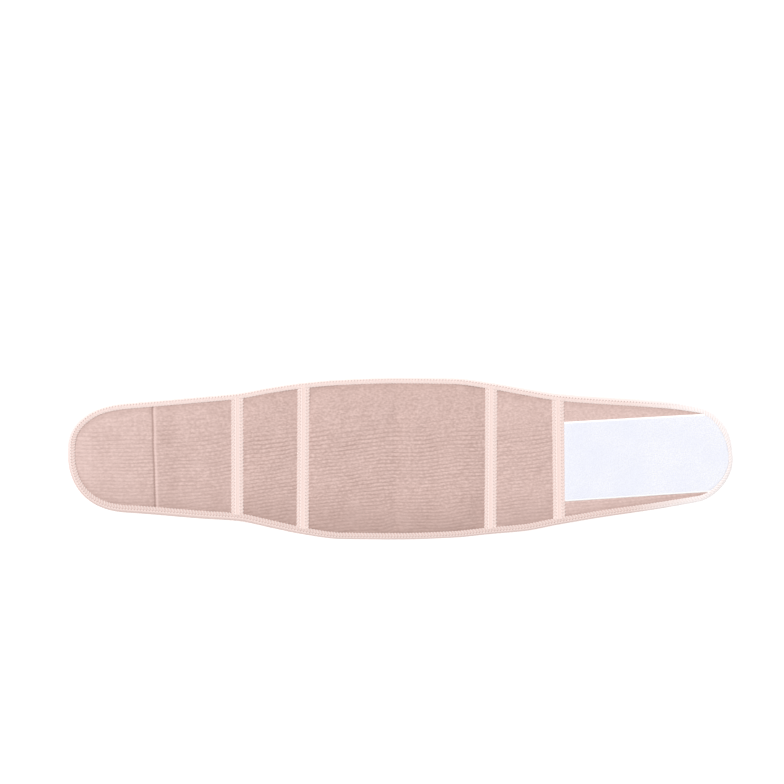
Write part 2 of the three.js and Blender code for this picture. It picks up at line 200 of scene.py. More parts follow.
def ease(value: Array) -> Array:
    """Smooth step from 0 to 1 as the value goes from 0 to 1."""
    t = np.clip(value, 0, 1)
    return t * t * (3 - 2 * t)


def valley(x: Array, at: float, width: float) -> Array:
    """A bell of height 1 at one place."""
    return np.exp(-(((x - at) / width) ** 2))


def ripple(x: Array, y: Array, size: float, seed: float) -> Array:
    """Smooth noise from about -1 to 1 over the belt.

    Args:
        x: Places along the belt.
        y: Places across it.
        size: Size of one ripple in metres.
        seed: Picks another pattern.

    Returns:
        The noise at each place.
    """
    flat = [noise.noise(Vector((a / size, b / size, seed))) for a, b in zip(x.ravel(), y.ravel())]
    return np.array(flat).reshape(x.shape)


class BeltPlan:
    """Outline, seams and layer heights of the belt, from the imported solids' boxes."""

    OUTER_BINDING = 8 * MM
    INNER_BINDING = 10 * MM
    CLEARANCE = 0.3 * MM
    CLOTH_INSET = 3 * MM
    RUN_POINTS = 1500
    TAPE_LEANS = (0.0, -1.3 * MM, -1.3 * MM, 2.4 * MM)
    HOOK_SLANT = 0.029

    def __init__(self) -> None:
        """Reads the boxes and samples the outline."""
        low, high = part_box("edge_binding")
        self.hook_end, self.loop_end = low.x, high.x
        self.half_height = (high.y - low.y) / 2
        tapes = [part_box(f"outer_tape_{i}") for i in range(1, 5)]
        self.seams = [(a.x + b.x) / 2 for a, b in tapes]
        self.tape_half = (tapes[0][1].x - tapes[0][0].x) / 2
        self.knit_edge = tapes[0][0].z - self.CLEARANCE
        self.knit_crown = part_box("knit_centre")[1].z - self.knit_edge
        self.backs = {Face.OUTER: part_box("knit_centre")[0].z, Face.INNER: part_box("velour_centre")[1].z}
        self.velour_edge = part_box("inner_tape_1")[1].z + self.CLEARANCE
        self.hook_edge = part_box("hook_patch")[1].x
        bounds = [self.hook_end, *self.seams, self.loop_end]
        self.spans = dict(zip(Stretch, zip(bounds[:-1], bounds[1:])))
        self.section_x = [self.along(s.on, s.share) for s in SECTIONS]
        self.ring, self.inward = self.sample_outline()

    def along(self, stretch: Stretch, share: float) -> float:
        """Place along the belt at a share of a stretch."""
        start, end = self.spans[stretch]
        return start + (end - start) * share

    def outline(self, side: Side, x: Array) -> Array:
        """Y of the belt's edge.

        Args:
            side: The long side to read.
            x: Places along the belt.

        Returns:
            The edge's Y at each place.
        """
        key = side.name.lower()
        depth = smooth_curve(self.section_x, [getattr(s, key) for s in SECTIONS], x)
        straight = side.value * depth * self.half_height
        y = straight.copy()
        for tip, inward in ((HOOK_TIP, x - self.hook_end), (LOOP_TIP, self.loop_end - x)):
            away = np.clip(inward / tip.reach, 0, 1)
            power = getattr(tip, key)
            share = (1 - (1 - away) ** power) ** (1 / power)
            level = tip.level * (1 - away) * self.half_height
            y = np.where(away < 1, level + (straight - level) * share, y)
        return y

    def sample_outline(self) -> tuple[Array, Array]:
        """Samples the outline as a closed ring.

        Returns:
            The points from the hook end along the bottom and back along the top, and their inward normals.
        """
        t = np.linspace(0, 1, self.RUN_POINTS)
        x = self.hook_end + (self.loop_end - self.hook_end) * (0.5 - 0.5 * np.cos(math.pi * t))
        near = np.linspace(0, 1, 400) ** 3
        x = np.unique(np.concatenate([
            x, self.hook_end + HOOK_TIP.reach * near, self.loop_end - LOOP_TIP.reach * near,
        ]))
        bottom = np.stack([x, self.outline(Side.BOTTOM, x)], axis=1)
        top = np.stack([x, self.outline(Side.TOP, x)], axis=1)[::-1]
        points = np.concatenate([bottom, top[1:-1]])
        ahead = np.roll(points, -1, axis=0) - np.roll(points, 1, axis=0)
        inward = np.stack([-ahead[:, 1], ahead[:, 0]], axis=1)
        return points, inward / np.linalg.norm(inward, axis=1, keepdims=True)

    def binding_width(self, face: Face, x: Array, y: Array) -> Array:
        """Width of the binding's flange at places on the outline."""
        if face is Face.INNER:
            return np.full_like(x, self.INNER_BINDING)
        places = [self.hook_end + (self.loop_end - self.hook_end) * row[0] for row in BINDING_SHARES]
        top = smooth_curve(places, [row[1] for row in BINDING_SHARES], x)
        bottom = smooth_curve(places, [row[2] for row in BINDING_SHARES], x)
        return self.OUTER_BINDING * np.where(y > 0, top, bottom)

    def rail(self, side: Side, inset: Array, x: Array) -> Array:
        """Y of a line inside the outline.

        Args:
            side: The long side to read.
            inset: Distance in from the outline at each of its points.
            x: Places along the belt.

        Returns:
            The line's Y at each place.
        """
        moved = self.ring + self.inward * inset[:, None]
        turn = int(np.argmax(self.ring[:, 0]))
        run = moved[: turn + 1] if side is Side.BOTTOM else np.concatenate([moved[turn:], moved[:1]])[::-1]
        return np.interp(x, run[:, 0], run[:, 1])

    def opening(self, face: Face, side: Side, x: Array) -> Array:
        """Y where the binding's flange ends on one long side of a face."""
        return self.rail(side, self.binding_width(face, self.ring[:, 0], self.ring[:, 1]), x)

    def openings(self, face: Face, x: Array) -> tuple[Array, Array]:
        """Y where the binding's flange ends on a face, along the bottom and along the top."""
        return self.opening(face, Side.BOTTOM, x), self.opening(face, Side.TOP, x)

    def opening_at(self, face: Face, x: float) -> tuple[float, float]:
        """The same two values at one place along the belt."""
        low, high = self.openings(face, np.array([x]))
        return float(low[0]), float(high[0])

    def rails(self, inset: float, x: Array) -> tuple[Array, Array]:
        """Y of the two long sides of a line at an even inset from the outline."""
        insets = np.full(len(self.ring), inset)
        return self.rail(Side.BOTTOM, insets, x), self.rail(Side.TOP, insets, x)

    def base(self, face: Face) -> float:
        """Height of a face's cloth along its seams."""
        return self.knit_edge if face is Face.OUTER else self.velour_edge

    def lean(self, tape: int, y: Array) -> Array:
        """How far a tape, counted from 1, stands to the loop end at places across the belt."""
        return -self.TAPE_LEANS[tape - 1] * y / (2 * self.half_height)


PLAN = BeltPlan()


@dataclass(frozen=True)
class PanelMap:
    """Maps shares along and across a panel to places on the belt.

    Attributes:
        stretch: The panel's stretch.
        tuck: How far the cloth goes on under the tape beyond the tape's edge.
        rounding: Power that brings the columns closer together at a rounded end.
        pinch: Reach of the closer columns at the hook patch's seam.
        closer: How much closer together they are there, as a share.
    """

    stretch: Stretch
    tuck: float = 4 * MM
    rounding: float = 1.7
    pinch: float = 14 * MM
    closer: float = 0.6

    def columns(self, share: Array) -> Array:
        """Places along the belt, closer together at a rounded end."""
        start, end = PLAN.spans[self.stretch]
        seam = PLAN.tape_half - self.tuck
        if self.stretch is Stretch.HOOK_WING:
            return start + PLAN.CLOTH_INSET + (end - seam - start - PLAN.CLOTH_INSET) * share**self.rounding
        if self.stretch is Stretch.LOOP_WING:
            length = end - PLAN.CLOTH_INSET - start - seam
            return end - PLAN.CLOTH_INSET - length * (1 - share) ** self.rounding
        return start + seam + (end - start - 2 * seam) * share

    def places(self, along: Array, across: Array) -> tuple[Array, Array]:
        """X and Y at shares along and across the panel."""
        x = self.columns(along)
        low, high = PLAN.rails(PLAN.CLOTH_INSET, x)
        y = low + (high - low) * across
        if self.stretch is Stretch.HOOK_WING:
            off = x - PLAN.hook_edge
            near = valley(off, 0, self.pinch)
            x = x - near * (self.closer * off + PLAN.HOOK_SLANT * y)
        return x, y

    def from_trims(self, face: Face, x: Array, y: Array) -> tuple[Array, Array]:
        """Distances in from the tapes' edges and from the binding's flange, negative under them."""
        start, end = PLAN.spans[self.stretch]
        number = list(Stretch).index(self.stretch)
        left, right = x - start - PLAN.OUTER_BINDING, end - x - PLAN.OUTER_BINDING
        if number > 0:
            left = x - start - PLAN.lean(number, y) - PLAN.tape_half
        if number < len(PLAN.seams):
            right = end + PLAN.lean(number + 1, y) - x - PLAN.tape_half
        low, high = PLAN.openings(face, x)
        return np.minimum(left, right), np.minimum(y - low, high - y)


def grid_bmesh(columns: int, rows: int) -> tuple[bmesh.types.BMesh, Array, Array]:
    """Starts a mesh as a flat grid.

    Args:
        columns: Faces along.
        rows: Faces across.

    Returns:
        The mesh, and the shares along and across of its vertices in their order.
    """
    bm = bmesh.new()
    bmesh.ops.create_grid(bm, x_segments=columns, y_segments=rows, size=0.5)
    bm.verts.ensure_lookup_table()
    co = np.array([v.co[:2] for v in bm.verts])
    share = (co - co.min(0)) / (co.max(0) - co.min(0))
    return bm, share[:, 0], share[:, 1]


def set_places(bm: bmesh.types.BMesh, x: Array, y: Array, z: Array) -> None:
    """Moves the vertices of a mesh to the given places."""
    for vert, *place in zip(bm.verts, x.ravel(), y.ravel(), z.ravel()):
        vert.co = place


def set_uv(bm: bmesh.types.BMesh, name: str, u: Array, v: Array) -> None:
    """Gives the mesh a UV map with one value for each vertex."""
    layer = bm.loops.layers.uv.new(name)
    for face in bm.faces:
        for loop in face.loops:
            loop[layer].uv = (u[loop.vert.index], v[loop.vert.index])


def set_sided_uv(
    bm: bmesh.types.BMesh,
    name: str,
    u: Array,
    sides: tuple[Array, Array],
    middle: float,
) -> None:
    """Gives the mesh a UV map whose second value differs to each side of a line across it.

    Args:
        bm: The mesh, in place.
        name: The map's name.
        u: First value of each vertex.
        sides: Second value of each vertex, for the faces before the line and for those past it.
        middle: X of the line.
    """
    layer = bm.loops.layers.uv.new(name)
    for face in bm.faces:
        v = sides[1] if face.calc_center_median().x > middle else sides[0]
        for loop in face.loops:
            loop[layer].uv = (u[loop.vert.index], v[loop.vert.index])


def area_of(bm: bmesh.types.BMesh) -> float:
    """Area of a mesh's faces."""
    return sum(face.calc_area() for face in bm.faces)


def declare_sheet(
    flat: tuple[float, float],
    flat_area: float,
) -> None:
    """Works out the area of a piece's flat cloth, which is not kept or used.

    Args:
        flat: Length and width of the cloth when it lies flat.
        flat_area: Area of the cloth before its small forms, at most that of the flat piece.
    """
    area = min(flat_area, flat[0] * flat[1])


def close_behind(bm: bmesh.types.BMesh, level: float) -> None:
    """Closes an open sheet with a rim and one flat face behind it, at the given height."""
    bmesh.ops.remove_doubles(bm, verts=bm.verts, dist=1e-7)
    bmesh.ops.dissolve_degenerate(bm, dist=1e-8, edges=bm.edges)
    rim = [edge for edge in bm.edges if edge.is_boundary]
    made = bmesh.ops.extrude_edge_only(bm, edges=rim)["geom"]
    for item in made:
        if isinstance(item, bmesh.types.BMVert):
            item.co.z = level
    back = [item for item in made if isinstance(item, bmesh.types.BMEdge) and item.is_boundary]
    bmesh.ops.holes_fill(bm, edges=back, sides=0)
    bmesh.ops.recalc_face_normals(bm, faces=bm.faces)


def finish_piece(
    bm: bmesh.types.BMesh,
    name: str,
    material: bpy.types.Material,
    nodes: Sequence[str] = (),
) -> bpy.types.Object:
    """Makes an object of a mesh, dresses it and sets it on the frame.

    Args:
        bm: The finished mesh, freed here.
        name: The piece's name.
        material: Its finish.
        nodes: The solids that the piece stands for.

    Returns:
        The new object.
    """
    mesh = bpy.data.meshes.new(name)
    bm.to_mesh(mesh)
    bm.free()
    return place_mesh(mesh, name, material, nodes)


def place_mesh(
    mesh: bpy.types.Mesh,
    name: str,
    material: bpy.types.Material,
    nodes: Sequence[str] = (),
) -> bpy.types.Object:
    """Links a mesh as a smooth-shaded piece that rides on the belt's body.

    Args:
        mesh: The finished mesh.
        name: The piece's name.
        material: Its finish.
        nodes: The solids that the piece stands for.

    Returns:
        The new object.
    """
    mesh.materials.clear()
    mesh.materials.append(material)
    mesh.shade_smooth()
    piece = bpy.data.objects.new(name, mesh)
    bpy.context.scene.collection.objects.link(piece)
    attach(piece, "root")
    if nodes:
        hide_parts(*nodes)
    LOG.info("%s: %d faces", name, len(mesh.polygons))
    return piece


def thread_mesh(name: str, paths: Sequence[Array], radius: float) -> bpy.types.Mesh:
    """Makes thread along paths, as tubes with four sides.

    Args:
        name: The mesh's name.
        paths: Points of each thread, in metres.
        radius: Radius of the thread.

    Returns:
        The joined mesh of all threads.
    """
    curve = bpy.data.curves.new(name, "CURVE")
    curve.dimensions = "3D"
    curve.bevel_depth = radius
    curve.bevel_resolution = 0
    curve.use_fill_caps = True
    for path in paths:
        spline = curve.splines.new("POLY")
        spline.points.add(len(path) - 1)
        spline.points.foreach_set("co", np.column_stack([path, np.ones(len(path))]).ravel())
    holder = bpy.data.objects.new(name, curve)
    mesh = bpy.data.meshes.new_from_object(holder)
    mesh.name = name
    bpy.data.objects.remove(holder)
    bpy.data.curves.remove(curve)
    return mesh


class Finish:
    """A material under construction: a cloth shader and the nodes that feed it."""

    def __init__(self, name: str, roughness: float, sheen: float = 0.0) -> None:
        """Starts a material with its even values set on the shader."""
        self.material = bpy.data.materials.new(name)
        self.material.use_nodes = True
        self.tree = self.material.node_tree
        self.tree.nodes.clear()
        output = self.tree.nodes.new("ShaderNodeOutputMaterial")
        self.shader = self.tree.nodes.new("ShaderNodeBsdfPrincipled")
        self.shader.inputs["Roughness"].default_value = roughness
        self.shader.inputs["Specular IOR Level"].default_value = 0.25
        self.shader.inputs["Sheen Weight"].default_value = sheen
        self.shader.inputs["Sheen Roughness"].default_value = 0.5
        self.tree.links.new(self.shader.outputs["BSDF"], output.inputs["Surface"])
        self.objects = self.tree.nodes.new("ShaderNodeTexCoord").outputs["Object"]
        self.shade: object = (1.0, 1.0, 1.0, 1.0)

    def feed(self, socket: bpy.types.NodeSocket, value: object) -> None:
        """Links a socket to another, or sets its value."""
        if isinstance(value, bpy.types.NodeSocket):
            self.tree.links.new(value, socket)
        else:
            socket.default_value = value

    def maths(self, operation: str, first: object, second: object = 0.0) -> bpy.types.NodeSocket:
        """An operation on one value or two."""
        node = self.tree.nodes.new("ShaderNodeMath")
        node.operation = operation
        self.feed(node.inputs[0], first)
        self.feed(node.inputs[1], second)
        return node.outputs[0]

    def times(self, first: object, second: object) -> bpy.types.NodeSocket:
        """The product of two values."""
        return self.maths("MULTIPLY", first, second)

    def plus(self, first: object, second: object) -> bpy.types.NodeSocket:
        """The sum of two values."""
        return self.maths("ADD", first, second)

    def less(self, first: object, second: object) -> bpy.types.NodeSocket:
        """The first value less the second."""
        return self.maths("SUBTRACT", first, second)

    def blend(self, share: object, first: object, second: object) -> bpy.types.NodeSocket:
        """A colour between two colours."""
        node = self.tree.nodes.new("ShaderNodeMix")
        node.data_type = "RGBA"
        self.feed(node.inputs[0], share)
        self.feed(node.inputs[6], first)
        self.feed(node.inputs[7], second)
        return node.outputs[2]

    def cover(self, share: object, colour: object) -> None:
        """Lays a colour over the shade so far."""
        self.shade = self.blend(share, self.shade, colour)

    def noise(
        self,
        scale: float,
        detail: float,
        stretch: Sequence[float] = (1, 1, 1),
    ) -> bpy.types.NodeSocket:
        """Makes noise over the belt.

        Args:
            scale: Cycles a metre.
            detail: How many finer layers it has.
            stretch: Factors on its cycles along each axis.

        Returns:
            The noise, about 0.5 in the middle.
        """
        mapping = self.tree.nodes.new("ShaderNodeMapping")
        mapping.inputs["Scale"].default_value = stretch
        self.tree.links.new(self.objects, mapping.inputs["Vector"])
        node = self.tree.nodes.new("ShaderNodeTexNoise")
        node.inputs["Scale"].default_value = scale
        node.inputs["Detail"].default_value = detail
        self.tree.links.new(mapping.outputs["Vector"], node.inputs["Vector"])
        return node.outputs["Fac"]

    def place(self, axis: str) -> bpy.types.NodeSocket:
        """One coordinate of the belt's frame, in metres."""
        split = self.tree.nodes.new("ShaderNodeSeparateXYZ")
        self.tree.links.new(self.objects, split.inputs["Vector"])
        return split.outputs[axis]

    def uv(self, name: str) -> tuple[bpy.types.NodeSocket, bpy.types.NodeSocket]:
        """The two values of a UV map."""
        node = self.tree.nodes.new("ShaderNodeUVMap")
        node.uv_map = name
        split = self.tree.nodes.new("ShaderNodeSeparateXYZ")
        self.tree.links.new(node.outputs["UV"], split.inputs["Vector"])
        return split.outputs["X"], split.outputs["Y"]

    def wave(self, value: object, cycles: float, shift: float = 0.0) -> bpy.types.NodeSocket:
        """A sine wave from 0 to 1 along a value."""
        turned = self.maths("MULTIPLY_ADD", value, 2 * math.pi * cycles)
        turned.node.inputs[2].default_value = shift * 2 * math.pi
        wave = self.maths("SINE", turned)
        scaled = self.maths("MULTIPLY_ADD", wave, 0.5)
        scaled.node.inputs[2].default_value = 0.5
        return scaled

    def lines(self, count: object, share: float) -> bpy.types.NodeSocket:
        """Narrow lines at whole numbers of a count, as high as the share."""
        off = self.maths("ABSOLUTE", self.less(self.maths("FRACT", count), 0.5))
        return self.times(self.maths("POWER", self.times(off, 2.0), 3.0), share)

    def spread(self, value: object, low: float, high: float) -> bpy.types.NodeSocket:
        """Maps a value from low..high to 0..1, clamped."""
        node = self.tree.nodes.new("ShaderNodeMapRange")
        self.feed(node.inputs["Value"], value)
        node.inputs["From Min"].default_value = low
        node.inputs["From Max"].default_value = high
        return node.outputs["Result"]

    def bump(self, height: bpy.types.NodeSocket, depth: float, under: object = None) -> bpy.types.NodeSocket:
        """A bumped normal, with its depth in metres."""
        node = self.tree.nodes.new("ShaderNodeBump")
        node.inputs["Distance"].default_value = depth
        self.tree.links.new(height, node.inputs["Height"])
        if under is not None:
            self.tree.links.new(under, node.inputs["Normal"])
        return node.outputs["Normal"]

    def dress(self, base: object, normal: object = None) -> bpy.types.Material:
        """Feeds the shader its colour and its normal, and gives the material."""
        self.feed(self.shader.inputs["Base Color"], base)
        if normal is not None:
            self.tree.links.new(normal, self.shader.inputs["Normal"])
        return self.material


@dataclass(frozen=True)
class KnitFinish:
    """Dusty pink elastic knit: soft ribs along the belt, with small stitches in them.

    Attributes:
        name: The material's name.
        pale: How much the cloth is faded.
        pale_end: How much more it is faded where the hook patch lies behind it.
        crest: Colour of the ribs.
        trough: Colour between them.
        faded: Colour of faded cloth, also laid as painted highlight beside the hook patch's seam.
        stitch: Length of a stitch.
        in_shade: How dark the cloth gets where it is in shade.
        mottled: How much it is faded in patches.
        stitched: How dark the small stitches are.
        behind: Distance over which the fading over the hook patch sets in.
    """

    name: str
    pale: float = 0.0
    pale_end: float = 0.0
    crest: Colour = seen(238, 207, 199)
    trough: Colour = seen(182, 151, 142)
    faded: Colour = seen(250, 222, 216)
    stitch: float = 1.35 * MM
    in_shade: float = 0.52
    mottled: float = 0.16
    stitched: float = 0.14
    behind: float = 30 * MM

    def make(self) -> bpy.types.Material:
        """Builds the material."""
        finish = Finish(self.name, roughness=0.9, sheen=0.12)
        along, rib = finish.uv("rib")
        strength, low = finish.uv("tone")
        ribs = finish.less(1.0, finish.times(strength, finish.lines(rib, 0.90)))
        rows = finish.wave(rib, 4.0)
        columns = finish.wave(along, 1.0)
        stitches = finish.times(rows, columns)
        finish.shade = finish.blend(ribs, self.trough, self.crest)
        fleck = finish.spread(finish.noise(430, 2, (0.7, 1.1, 1)), 0.3, 0.7)
        finish.shade = finish.blend(finish.spread(fleck, -0.5, 1.0), self.trough, finish.shade)
        finish.cover(finish.times(low, self.in_shade), self.trough)
        mottle = finish.spread(finish.noise(45, 4), 0.3, 0.75)
        place, fold = finish.place("X"), PLAN.hook_end + KnitPanel.fold_at
        behind = finish.spread(place, PLAN.hook_edge, PLAN.hook_edge - self.behind)
        beyond = finish.spread(place, fold + 1.5 * MM, fold - 1.5 * MM)
        behind = finish.plus(finish.times(behind, 0.6), finish.times(beyond, 0.4))
        faded = finish.plus(finish.times(mottle, self.mottled), self.pale)
        faded = finish.plus(faded, finish.times(behind, self.pale_end))
        finish.cover(faded, self.faded)
        grain = finish.times(finish.less(1.0, fleck), 0.06 + 0.45 * self.pale)
        finish.cover(grain, self.trough)
        dark = finish.times(finish.less(1.0, stitches), self.stitched)
        finish.cover(dark, self.trough)
        # Painted shade in the hook patch's seam groove, near it and beside the binding, and painted
        # highlight on the groove's far wall.
        painted_seam_shade, painted_seam_highlight = finish.uv("seam")
        finish.cover(painted_seam_shade, self.trough)
        finish.cover(painted_seam_highlight, self.faded)
        normal = finish.bump(stitches, 0.12 * MM)
        return finish.dress(finish.shade, normal)


@dataclass(frozen=True)
class VelourFinish:
    """Tan short-pile velour, with its nap brushed both ways.

    Attributes:
        light: Colour of nap that leans to the light.
        deep: Colour of nap that leans away from it.
        raised: Colour of the padded ground behind the loop patch.
        crease: Colour of painted shade in creases and gathers.
    """

    light: Colour = seen(246, 206, 176)
    deep: Colour = seen(226, 178, 141)
    raised: Colour = seen(252, 214, 186)
    crease: Colour = seen(196, 142, 100)

    def make(self) -> bpy.types.Material:
        """Builds the material."""
        finish = Finish("velour", roughness=0.95, sheen=0.35)
        broad = finish.spread(finish.noise(26, 3, (1, 0.7, 1)), 0.38, 0.64)
        streaks = finish.spread(finish.noise(120, 4, (0.6, 1.4, 1)), 0.35, 0.7)
        nap = finish.plus(finish.times(broad, 0.65), finish.times(streaks, 0.35))
        finish.shade = finish.blend(nap, self.deep, self.light)
        raised, painted_crease_shade = finish.uv("tone")
        finish.cover(raised, self.raised)
        # Painted shade in creases, gathers, ripples and crumples, and at the hook patch's edge.
        finish.cover(painted_crease_shade, self.crease)
        pile = finish.noise(1500, 2)
        finish.cover(finish.times(finish.spread(pile, 0.3, 0.8), 0.3), self.light)
        normal = finish.bump(pile, 0.25 * MM)
        normal = finish.bump(streaks, 0.3 * MM, normal)
        return finish.dress(finish.shade, normal)


@dataclass(frozen=True)
class TrimFinish:
    """Pale pink woven stretch tape, with needle holes along its zigzag stitching.

    Attributes:
        name: The material's name.
        bright: Colour of the stitched strip, also laid as painted highlight on the flange along the top.
        plain: Colour beyond the needle holes.
        gap: Colour between the stitches.
        hole: Colour in the needle holes.
        pale: Colour near the loop end, also laid as painted highlight on the fold along the top.
        pale_from: Place along the belt from which it turns pale, in metres.
        hole_row: Distance of the hole row from the stitched edge in the UV map.
        turn: Share of a stitch at which the thread turns back over the edge.
        fold_row: Distance from the stitched edge at which a fold turns over the belt's side.
        fold: Colour of painted shade on the fold and flange along the bottom.
        fold_dark: How much of that painted shade the fold takes along the bottom, and how much painted
            highlight it takes along the top; the flanges take part of each.
        stroke: Half the width of a stroke of thread, and where the gap's colour is full.
        cord_slant: Slant of the cords beyond the needle holes.
        hole_edge: Radius of a needle hole, and where its colour is full.
        woven: How much the weave shows.
        pale_run: Distance over which the tape turns pale.
    """

    name: str
    bright: Colour = seen(262, 243, 238)
    plain: Colour = seen(254, 229, 222)
    gap: Colour = seen(247, 221, 214)
    hole: Colour = seen(219, 191, 183)
    pale: Colour = seen(262, 256, 256)
    pale_from: float = 1.0
    hole_row: float = 1.0
    turn: float = 0.28
    fold_row: float = 1.25
    fold: Colour = seen(228, 202, 195)
    fold_dark: float = 0.0
    stroke: tuple[float, float] = (0.20, 0.34)
    cord_slant: float = 0.8
    hole_edge: tuple[float, float] = (0.24, 0.12)
    woven: float = 0.12
    pale_run: float = 0.09

    def make(self) -> bpy.types.Material:
        """Builds the material."""
        finish = Finish(self.name, roughness=0.75, sheen=0.1)
        inward, along = finish.uv("trim")
        weave = finish.times(finish.wave(along, 7.0), finish.wave(inward, 7.0, 0.25))
        share = finish.maths("FRACT", along)
        slant = finish.maths("DIVIDE", finish.less(share, self.turn), 1 - self.turn)
        off = finish.less(inward, slant)
        later = finish.less(off, 1 / (1 - self.turn))
        leg = finish.maths("MINIMUM", finish.maths("ABSOLUTE", off), finish.maths("ABSOLUTE", later))
        finish.shade = finish.blend(finish.spread(leg, *self.stroke), self.bright, self.gap)
        finish.cover(finish.spread(inward, self.hole_row, self.hole_row + 0.06), self.bright)
        cords = finish.wave(finish.less(along, finish.times(inward, self.cord_slant)), 1.0)
        middle = finish.blend(finish.times(cords, 0.5), self.plain, self.gap)
        finish.cover(finish.spread(inward, self.hole_row + 0.2, self.hole_row + 0.4), middle)
        off_row = finish.maths("ABSOLUTE", finish.less(inward, self.hole_row))
        step = finish.maths("ABSOLUTE", finish.less(finish.maths("FRACT", along), 0.5))
        off_step = finish.less(0.5, step)
        squares = finish.plus(finish.maths("POWER", off_row, 2.0), finish.maths("POWER", off_step, 2.0))
        away = finish.maths("SQRT", squares)
        # Painted shade on the fold along the bottom, and painted highlight on the fold along the top.
        side = finish.spread(inward, self.fold_row, self.fold_row + 0.7)
        level = finish.place("Y")
        turned = finish.blend(finish.spread(level, -0.03, 0.03), self.fold, self.pale)
        finish.cover(finish.times(side, self.fold_dark), turned)
        # Painted shade over the flange along the bottom, and painted highlight over the flange along the
        # top.
        lower, upper = finish.spread(level, -0.03, -0.06), finish.spread(level, 0.03, 0.06)
        finish.cover(finish.times(lower, 0.4 * self.fold_dark), self.fold)
        finish.cover(finish.times(upper, 0.8 * self.fold_dark), self.bright)
        hole = finish.spread(away, *self.hole_edge)
        finish.cover(hole, self.hole)
        finish.cover(finish.times(weave, self.woven), self.plain)
        end = finish.spread(finish.place("X"), self.pale_from, self.pale_from + self.pale_run)
        finish.cover(finish.times(end, 0.9), self.pale)
        normal = finish.bump(weave, 0.08 * MM)
        normal = finish.bump(finish.less(1.0, hole), 0.12 * MM, normal)
        return finish.dress(finish.shade, normal)


@dataclass(frozen=True)
class ThreadFinish:
    """Sewing thread, twisted and slightly glossy.

    Attributes:
        name: The material's name.
        base: Colour of the thread.
        shadow: Colour between its twisted strands.
    """

    name: str = "thread"
    base: Colour = seen(255, 241, 236)
    shadow: Colour = seen(244, 220, 213)

    def make(self) -> bpy.types.Material:
        """Builds the material."""
        finish = Finish(self.name, roughness=0.55)
        twist = finish.noise(2500, 1)
        finish.shade = finish.blend(finish.times(twist, 0.2), self.base, self.shadow)
        return finish.dress(finish.shade, finish.bump(twist, 0.05 * MM))


@dataclass(frozen=True)
class LoopFinish:
    """White brushed loop pile with woven edges.

    Attributes:
        pile: Colour of the pile.
        bright: Colour of pile that is brushed flat.
        hollow: Colour between the tufts.
        edge: Colour of the woven edges.
        clouded: How much of the pile is brushed flat, in clouds.
        far: Stretch of the belt over which more of it is, towards the rounded end.
    """

    pile: Colour = seen(244, 246, 255)
    bright: Colour = seen(255, 255, 255)
    hollow: Colour = seen(240, 241, 254)
    edge: Colour = (1.0, 1.0, 1.0, 1.0)
    clouded: float = 0.65
    far: tuple[float, float] = (0.24, 0.40)

    def make(self) -> bpy.types.Material:
        """Builds the material."""
        finish = Finish("loop", roughness=0.95, sheen=0.3)
        inward, _ = finish.uv("patch")
        tufts = finish.noise(700, 3)
        cloud = finish.spread(finish.noise(26, 3), 0.35, 0.62)
        far = finish.spread(finish.place("X"), *self.far)
        light = finish.plus(finish.times(cloud, self.clouded), finish.times(far, 0.45))
        finish.shade = finish.blend(light, self.pile, self.bright)
        finish.cover(finish.spread(tufts, 0.62, 0.40), self.hollow)
        finish.cover(finish.spread(inward, 2.4, 1.6), self.edge)
        return finish.dress(finish.shade, finish.bump(tufts, 0.5 * MM))


@dataclass(frozen=True)
class HookFinish:
    """White woven tape that carries the fine hooks, in rows along the belt.

    Attributes:
        base: Colour of the ground.
        row: Colour along the rows of hooks.
    """

    base: Colour = seen(250, 246, 253)
    row: Colour = seen(238, 231, 243)

    def make(self) -> bpy.types.Material:
        """Builds the material."""
        finish = Finish("hook", roughness=0.5)
        _, across = finish.uv("patch")
        rows = finish.wave(across, 1.0)
        finish.shade = finish.blend(rows, self.base, self.row)
        return finish.dress(finish.shade, finish.bump(finish.noise(1800, 2), 0.1 * MM))


@dataclass(frozen=True)
class RibRow:
    """Where the knit's ribs rise: a share of the belt's length, and the rise for each unit along."""

    share: float
    rise: float


@dataclass(frozen=True)
class RibCourse:
    """Course of the knit's ribs over the belt.

    Attributes:
        rows: How the ribs rise from the hook end to the loop end.
        levels: Heights as shares of half the belt's height.
        pitches: Distance from rib to rib at those heights.
    """

    rows: tuple[RibRow, ...] = (
        RibRow(0.05, 0.00), RibRow(0.13, 0.02), RibRow(0.23, 0.14), RibRow(0.40, 0.13), RibRow(0.47, 0.09),
        RibRow(0.51, 0.03), RibRow(0.57, 0.09), RibRow(0.66, 0.12), RibRow(0.80, 0.10),
    )
    levels: tuple[float, ...] = (-1.0, 0.0, 0.5, 1.0)
    pitches: tuple[float, ...] = (4.3 * MM, 4.7 * MM, 6.0 * MM, 6.2 * MM)

    def phase(self, x: Array, y: Array, start: float) -> Array:
        """Counts ribs up from the belt's middle line.

        Args:
            x: Places along the belt.
            y: Places across it.
            start: Place along the belt from which this cloth's ribs rise.

        Returns:
            The count at each place, whole numbers on the lines between ribs.
        """
        along = np.linspace(PLAN.hook_end, PLAN.loop_end, 400)
        places = [PLAN.hook_end + (PLAN.loop_end - PLAN.hook_end) * row.share for row in self.rows]
        rise = np.interp(along, places, [row.rise for row in self.rows])
        run = np.concatenate([[0], np.cumsum((rise[1:] + rise[:-1]) / 2 * np.diff(along))])
        lift = np.interp(x, along, run) - np.interp(start, along, run)
        wander = 2.4 * MM * ripple(x, y, 48 * MM, start) + 0.6 * MM * ripple(x, y, 14 * MM, start + 5)
        level = y - lift + wander
        scale = np.linspace(-1.4, 1.4, 280)
        pitch = np.interp(scale, self.levels, self.pitches)
        steps = 2 / (pitch[1:] + pitch[:-1]) * np.diff(scale) * PLAN.half_height
        turns = np.concatenate([[0], np.cumsum(steps)])
        return np.interp(level / PLAN.half_height, scale, turns) + 7.3 * start


